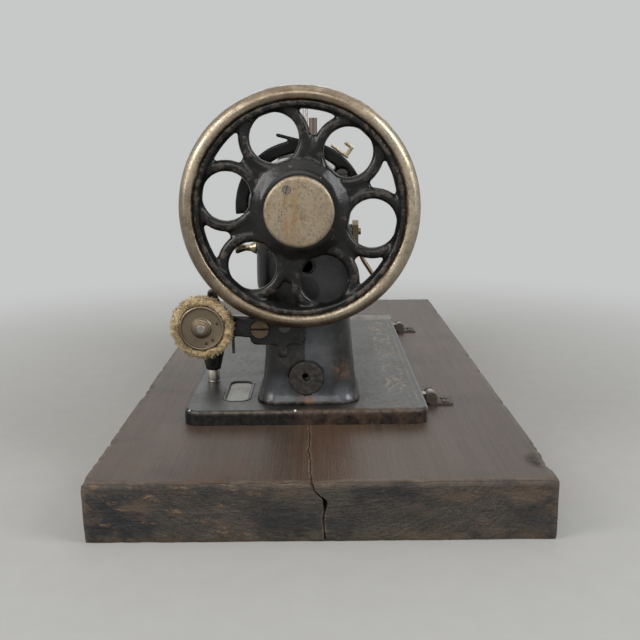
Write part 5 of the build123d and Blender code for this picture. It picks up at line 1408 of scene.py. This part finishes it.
def build_wheel():
    """The cast wheel, its nickelled rim, and what turns with it. The profiles are in millimetres."""
    own = bpy.context.scene.machine_wheel
    centre = (WHEEL_X, WHEEL_Y, WHEEL_Z)
    enamel = finish("wheel_enamel")
    loops = grown("loops", loop_tree(), {
        "Count": own.spokes, "Circle": own.loop_circle, "Loop": own.loop_radius,
        "Section": own.loop_thickness, "Material": enamel,
    })
    laid(loops, to_x=True, turn=own.first_angle, shift=centre)
    ring = in_mm([
        (71.6, 6.0), (70.4, 6.9), (68.6, 6.7), (66.8, 4.8), (66.0, 1.8), (66.0, -1.8), (66.8, -4.8),
        (68.6, -6.7), (70.4, -6.9), (71.6, -6.0), (74.5, -3.0), (74.5, 3.0)])
    hub = in_mm([
        (7.06, 9.5), (24.5, 9.5), (26.4, 8.8), (30.0, 6.3), (33.6, 3.6), (34.6, 0.5), (33.4, -3.2),
        (28.0, -7.0), (24.0, -10.4), (7.06, -10.4)])
    casting = joined("wheel_casting", [
        loops,
        revolved("ring", ring, centre, segments=160, closed=True),
        revolved("hub", hub, centre, segments=96, closed=True),
        *(wheel_stem(index, own, centre) for index in range(own.spokes)),
    ])
    remeshed(casting, 1.05 * MM, 5, 0.55)
    points = points_of(casting)
    push_out(casting, lumps(points, 7 * MM, 21) * 0.14 * MM + lumps(points, 2.4 * MM, 22) * 0.06 * MM)
    paint(casting, "wear", edge_wear(casting, 1.1))
    mark(casting, "handwheel", enamel)
    band = in_mm([
        (71.2, 5.2), (71.3, 6.9), (72.0, 8.3), (73.4, 9.2), (75.2, 9.5), (77.0, 9.1), (78.8, 7.8),
        (80.2, 5.9), (81.1, 3.4), (81.5, 0.9)])
    band += [(radius, -along) for radius, along in reversed(band)]
    rim = revolved("wheel_rim", band, centre, segments=256, closed=True)
    soft = rim.modifiers.new("Soft", "SUBSURF")
    soft.levels = soft.render_levels = 1
    mark(shade(baked(rim), 60), "handwheel", finish("wheel_finish"))
    dress_all(("main_shaft", 0.3), ("clutch_washer", 0.2), ("front_crank", 0.3), ("pillar_eccentric", 0.3))


def build_stop_knob():
    """The nickel disc in the wheel's middle and its small slotted screw."""
    low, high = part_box("stop_motion_knob")
    radius = (high.z - low.z) / 2 / MM
    deep = (high.x - low.x) / MM
    bore = 5.06
    profile = in_mm([
        (bore, 0.0), (radius - 1.2, 0.0), (radius - 0.2, 0.5), (radius, 1.4), (radius, deep - 1.9),
        (radius - 0.35, deep - 0.8), (radius - 1.3, deep - 0.1), (radius - 2.2, deep), (14.0, deep - 0.12),
        (6.0, deep - 0.2), (0.0, deep - 0.2), (0.0, deep - 4.6), (bore, deep - 4.6)])
    knob = revolved("stop_knob", profile, (low.x, WHEEL_Y, WHEEL_Z), segments=128, closed=True)
    screw = middle_of("stop_knob_screw")
    hole = span_of("stop_knob_screw").z / 2 + 0.15 * MM
    drilled(knob, [((high.x, screw.y, screw.z), hole, 9 * MM)])
    mark(shade(knob, 35), "stop_motion_knob", finish("stained_nickel"))
    dress_all(("stop_knob_screw", 0.15))


def build_tyre(own, centre):
    """The frayed ring on the winder's pulley."""
    ring = []
    for step in range(20):
        angle = 2 * math.pi * step / 20
        across, along = [math.copysign(abs(part) ** 0.7, part) for part in (math.cos(angle),
                math.sin(angle))]
        ring.append(((18.3 + 3.0 * across) * MM, 4.6 * along * MM))
    tyre = revolved("winder_ring", ring, centre, segments=150, closed=True)
    points = points_of(tyre)
    push_out(tyre, lumps(points, 2.3 * MM, 31) * 0.9 * MM + lumps(points, 1.1 * MM, 32) * 0.55 * MM)
    area = sum(face.area for face in tyre.data.polygons)
    stuff = finish("frayed_tyre")
    grown("winder_ring", fibre_tree(), {
        "Count": own.fibres / area, "Length": own.fibre_length, "Thickness": 0.17 * MM, "Seed": 4,
        "Material": stuff,
    }, base=tyre)
    mark(shade(tyre, 0), "winder_tyre", stuff)


def build_winder():
    """The bobbin winder, and the post with its cup. The profiles are in millimetres."""
    dressed("winder_bracket", "winder_enamel", voxel=0.8 * MM, grit=0.40 * MM)
    dressed("winder_arm", "winder_enamel", voxel=0.8 * MM, grit=0.75 * MM)
    dress_all(("winder_pivot_screw", 0.3, "pivot_screw"), ("winder_spindle", 0.5, "spindle_steel"))
    centre = middle_of("winder_tyre")
    disc = in_mm([
        (3.05, -5.0), (14.6, -5.0), (15.4, -4.4), (15.7, -3.4), (15.7, 3.6), (15.4, 4.6), (14.7, 5.0),
        (14.0, 4.8), (13.5, 4.1), (12.4, 3.9), (7.2, 4.0), (6.6, 4.5), (6.2, 5.4), (5.2, 5.8), (4.9, 6.9),
        (4.2, 7.3), (3.05, 7.3)])
    pulley = revolved("winder_disc", disc, centre, segments=96, closed=True)
    drilled(pulley, [(centre + Vector((5 * MM, y, z)), 1.15 * MM, 3 * MM)
                     for y, z in in_mm([(11.0, 3.0), (3.1, -11.0), (7.6, -8.6)])])
    mark(shade(pulley, 32), "winder_pulley", finish("tarnished_nickel"))
    build_tyre(bpy.context.scene.machine_winder, centre)
    middle = middle_of("winding_post")
    foot = in_mm([
        (0.0, 0.0), (5.2, 0.0), (5.2, 0.5), (4.85, 0.9), (4.85, 9.2), (4.4, 10.0), (2.0, 10.2), (2.0, 57.0),
        (1.4, 58.0), (0.0, 58.0)])
    post = revolved("winding_post_finish", foot, (middle.x, middle.y, BED_TOP), axis="Z", segments=48)
    mark(shade(post, 35), "winding_post", finish("bright_nickel"))
    cup = in_mm([
        (2.05, 0.0), (5.4, 0.0), (5.9, 0.5), (6.6, 3.5), (7.6, 8.0), (8.6, 12.0), (9.0, 14.4), (8.8, 15.0),
        (8.3, 15.0), (7.9, 14.2), (6.4, 8.0), (5.0, 5.5), (2.05, 5.0)])
    base = (middle.x, middle.y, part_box("winding_cup")[0].z)
    cup = revolved("winding_cup_finish", cup, base, axis="Z", segments=64, closed=True)
    mark(shade(cup, 35), "winding_cup", finish("black_ebonite"))


def build_hinges():
    """The two hinges behind the bed."""
    dress_all(("hinge_leaves", 0.25, "hinge_leaf"), ("hinge_eyes", 0.25),
              ("hinge_pins_and_screws", 0.15, "hinge_screws"))


def build_springs(wire):
    """The presser's spring and the tension's spring."""
    coil = spring_tree()
    low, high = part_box("presser_spring")
    middle = (low + high) / 2
    thick = 0.7 * MM
    outer = (high.x - low.x) / 2 - thick
    spring = grown("presser_spring_finish", coil, {
        "Turns": 11.0, "Start radius": outer, "End radius": outer, "Height": high.z - low.z - 2 * thick,
        "Wire": thick, "Material": wire,
    })
    laid(spring, shift=(middle.x, middle.y, low.z + thick))
    foot = Vector((middle.x, middle.y, low.z))
    top = Vector((middle.x, middle.y, high.z))
    mark(shade(spring, 50), "presser_spring", wire, bend=("head", foot, top))
    low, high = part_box("tension_spring")
    middle = (low + high) / 2
    thick = 0.6 * MM
    spring = grown("tension_spring_finish", coil, {
        "Turns": 4.0, "Start radius": 2.9 * MM, "End radius": 4.4 * MM, "Wire": thick, "Material": wire,
        "Height": high.y - low.y - 2 * thick,
    })
    laid(spring, to_y=True, shift=(middle.x, low.y + thick, middle.z))
    mark(shade(spring, 50), "tension_spring", wire)


def build_thumb_nut():
    """The tension's thumb nut with its ribbed edge. The profile is in millimetres."""
    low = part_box("tension_thumb_nut")[0]
    middle = middle_of("tension_thumb_nut")
    nickel = finish("tarnished_nickel")
    body = in_mm([(2.06, 0.0), (4.6, 0.0), (5.0, 0.6), (5.0, 1.6), (6.0, 2.0), (6.0, 7.2), (5.4, 8.0),
                  (2.06, 8.0)])
    nut = revolved("nut", body, (middle.x, low.y, middle.z), axis="Y", segments=60, closed=True)
    ribs = grown("ribs", knurl_tree(), {
        "Count": 36, "Circle": 6.0 * MM, "Rib": 0.42 * MM, "Width": 4.6 * MM, "Material": nickel,
    })
    laid(ribs, to_y=True, shift=(middle.x, low.y + 4.6 * MM, middle.z))
    mark(shade(joined("tension_nut", [nut, ribs]), 35), "tension_thumb_nut", nickel)


def build_head_parts():
    """Needle bar, presser, take-up and tension."""
    dress_all(("presser_lifter", 0.2, "lifter_bronze"), ("needle_bar", 0.2), ("needle_clamp", 0.2),
              ("needle_bar_yoke", 0.2), ("presser_bar", 0.2), ("presser_foot", 0.2), ("take_up_lever", 0.2),
              ("tension_stud", 0.2), ("tension_discs", 0.2), ("needle", 0), ("pivot_studs", 0))
    build_springs(finish("spring_steel"))
    build_thumb_nut()


def build_underside():
    """The rock shaft, shuttle and feed under the bed."""
    for node in ("pillar_rod", "rock_shaft", "shuttle_lever", "shuttle_carrier", "shuttle",
                 "shuttle_bobbin", "shuttle_race", "feed_bar", "feed_dog", "feed_rock_shaft"):
        dressed(node, bevel=0.25 * MM)


def seen_directly(add):
    """1 for rays straight from the camera or over a mirror or glass, 0 for those that light things."""
    rays = add("ShaderNodeLightPath")
    total = rays.outputs["Is Camera Ray"]
    for name in ("Is Glossy Ray", "Is Transmission Ray"):
        both = add("ShaderNodeMath", {0: total, 1: rays.outputs[name]}, operation="ADD", use_clamp=True)
        total = both.outputs[0]
    return total


def link_to_scene(obj):
    """Puts a new object into the scene."""
    bpy.context.scene.collection.objects.link(obj)
    return obj


def build_floor(own):
    """A wide floor that fades into the backdrop away from the machine."""
    mesh = bpy.data.meshes.new("floor")
    corners = [(-1, -1), (1, -1), (1, 1), (-1, 1)]
    mesh.from_pydata([(x * FLOOR_REACH, y * FLOOR_REACH, 0) for x, y in corners], [], [(0, 1, 2, 3)])
    floor = new_object("floor", mesh)
    f = Finish("studio floor")
    colour = tuple(own.floor_colour)
    darker = tuple(c * 0.96 for c in colour)
    blotched = f.mix(f.band(f.noise(60.0, 5, 0.6), 0.3, 0.7), darker, colour)
    f.bump(f.noise(180.0, 4, 0.6), 0.3 * MM, 0.25)
    material = f.done(Base_Color=blotched, Roughness=0.8, Specular_IOR_Level=0.15)
    output = next(node for node in material.node_tree.nodes if node.type == "OUTPUT_MATERIAL")
    glow = f.add("ShaderNodeEmission", {"Color": tuple(own.backdrop_colour)})
    share = f.times(f.band(f.radius(FLOOR_MIDDLE, "Z"), *FLOOR_FADE), seen_directly(f.add))
    blend = f.add("ShaderNodeMixShader", {0: share, 1: f.surface.outputs[0], 2: glow.outputs[0]})
    feed(f.tree, output.inputs["Surface"], blend.outputs[0])
    floor.data.materials.append(material)


def build_world(own):
    """The backdrop's colour for the camera, and a soft fill for everything else."""
    world = bpy.data.worlds.new("studio")
    bpy.context.scene.world = world
    world.use_nodes = True
    world.node_tree.nodes.clear()
    add = functools.partial(add_node, world.node_tree)
    seen = add("ShaderNodeBackground", {"Color": (*own.backdrop_colour, 1)})
    fill = add("ShaderNodeBackground", {"Color": (0.94, 0.96, 1.0, 1), "Strength": 0.28})
    blend = add("ShaderNodeMixShader", {0: seen_directly(add), 1: fill.outputs[0], 2: seen.outputs[0]})
    add("ShaderNodeOutputWorld", {"Surface": blend.outputs[0]})


def build_lamps():
    """The soft boxes round the machine, each turned to it."""
    for name, place, size, power, tint in LAMPS:
        lamp = bpy.data.lights.new(name, "AREA")
        lamp.shape = "RECTANGLE"
        lamp.size, lamp.size_y = size
        lamp.energy = power
        lamp.color = tint
        obj = link_to_scene(bpy.data.objects.new(name, lamp))
        obj.location = place
        aim = LAMP_AIM - Vector(place)
        obj.rotation_euler = aim.to_track_quat("-Z", "Y").to_euler()


def build_camera(own):
    """The camera as the photograph has it."""
    lens = bpy.data.cameras.new("photo camera")
    lens.lens = own.camera_lens
    lens.sensor_width = 36.0
    lens.sensor_fit = "HORIZONTAL"
    lens.dof.use_dof = False
    lens.clip_start = 0.01
    camera = link_to_scene(bpy.data.objects.new("photo camera", lens))
    pitch, yaw, roll = [math.radians(angle) for angle in CAMERA_ANGLES]
    look = Vector((-math.cos(pitch) * math.cos(yaw), math.cos(pitch) * math.sin(yaw), -math.sin(pitch)))
    right = look.cross(Vector((0, 0, 1))).normalized()
    up = right.cross(look)
    side = right * math.cos(roll) + up * math.sin(roll)
    turn = Matrix((side, side.cross(look), -look)).transposed().to_4x4()
    camera.matrix_world = Matrix.Translation(Vector(CAMERA_PLACE)) @ turn
    bpy.context.scene.camera = camera


def build_stage():
    """The floor, the backdrop, the lamps and the camera."""
    own = bpy.context.scene.machine_stage
    build_floor(own)
    build_world(own)
    build_lamps()
    build_camera(own)
    bpy.context.scene.view_settings.view_transform = "Standard"


# Operators


class MACHINE_OT_plank(bpy.types.Operator):
    """Build the cracked plank"""
    bl_idname = "machine.plank"
    bl_label = "Plank"

    def execute(self, context):
        build_plank()
        return {"FINISHED"}


class MACHINE_OT_bed(bpy.types.Operator):
    """Build the bed and its plates"""
    bl_idname = "machine.bed"
    bl_label = "Bed"

    def execute(self, context):
        build_bed()
        return {"FINISHED"}


class MACHINE_OT_arm(bpy.types.Operator):
    """Build the pillar, arm, guard and covers"""
    bl_idname = "machine.arm"
    bl_label = "Arm"

    def execute(self, context):
        build_arm()
        return {"FINISHED"}


class MACHINE_OT_wheel(bpy.types.Operator):
    """Build the handwheel with its loops and rim"""
    bl_idname = "machine.wheel"
    bl_label = "Handwheel"

    def execute(self, context):
        build_wheel()
        return {"FINISHED"}


class MACHINE_OT_stop_knob(bpy.types.Operator):
    """Build the stop knob and its screw"""
    bl_idname = "machine.stop_knob"
    bl_label = "Stop knob"

    def execute(self, context):
        build_stop_knob()
        return {"FINISHED"}


class MACHINE_OT_winder(bpy.types.Operator):
    """Build the winder, its ring, post and cup"""
    bl_idname = "machine.winder"
    bl_label = "Bobbin winder"

    def execute(self, context):
        build_winder()
        return {"FINISHED"}


class MACHINE_OT_hinges(bpy.types.Operator):
    """Build the two bed hinges"""
    bl_idname = "machine.hinges"
    bl_label = "Hinges"

    def execute(self, context):
        build_hinges()
        return {"FINISHED"}


class MACHINE_OT_head_parts(bpy.types.Operator):
    """Build the needle, presser, take-up and tension"""
    bl_idname = "machine.head_parts"
    bl_label = "Head parts"

    def execute(self, context):
        build_head_parts()
        return {"FINISHED"}


class MACHINE_OT_underside(bpy.types.Operator):
    """Build the mechanism under the bed"""
    bl_idname = "machine.underside"
    bl_label = "Underside"

    def execute(self, context):
        build_underside()
        return {"FINISHED"}


class MACHINE_OT_stage(bpy.types.Operator):
    """Build the floor, lamps and camera"""
    bl_idname = "machine.stage"
    bl_label = "Stage"

    def execute(self, context):
        build_stage()
        return {"FINISHED"}


OPERATORS = (
    MACHINE_OT_plank, MACHINE_OT_bed, MACHINE_OT_arm, MACHINE_OT_wheel, MACHINE_OT_stop_knob,
    MACHINE_OT_winder, MACHINE_OT_hinges, MACHINE_OT_head_parts, MACHINE_OT_underside, MACHINE_OT_stage,
)


class MACHINE_PT_panel(bpy.types.Panel):
    """Buttons that build the machine"""
    bl_label = "Sewing machine"
    bl_idname = "MACHINE_PT_panel"
    bl_space_type = "VIEW_3D"
    bl_region_type = "UI"
    bl_category = "Machine"

    def draw(self, context):
        for group in ("machine_plank", "machine_iron", "machine_wheel", "machine_winder", "machine_stage"):
            own = getattr(context.scene, group)
            for key in own.bl_rna.properties.keys():
                if key not in ("rna_type", "name"):
                    self.layout.prop(own, key)
        for operator in OPERATORS:
            self.layout.operator(operator.bl_idname)


GROUPS = {
    "machine_plank": PlankSettings,
    "machine_iron": IronSettings,
    "machine_wheel": WheelSettings,
    "machine_winder": WinderSettings,
    "machine_stage": StageSettings,
}


def register():
    """Adds the settings, the operators and the panel."""
    for name, group in GROUPS.items():
        bpy.utils.register_class(group)
        setattr(bpy.types.Scene, name, bpy.props.PointerProperty(type=group))
    for operator in OPERATORS:
        bpy.utils.register_class(operator)
    bpy.utils.register_class(MACHINE_PT_panel)


def unregister():
    """Takes away what register adds."""
    bpy.utils.unregister_class(MACHINE_PT_panel)
    for operator in reversed(OPERATORS):
        bpy.utils.unregister_class(operator)
    for name, group in GROUPS.items():
        delattr(bpy.types.Scene, name)
        bpy.utils.unregister_class(group)


def main():
    """Builds the whole machine through its operators."""
    register()
    for operator in OPERATORS:
        getattr(bpy.ops.machine, operator.bl_idname.split(".")[1])()


if __name__ == "__main__":
    main()
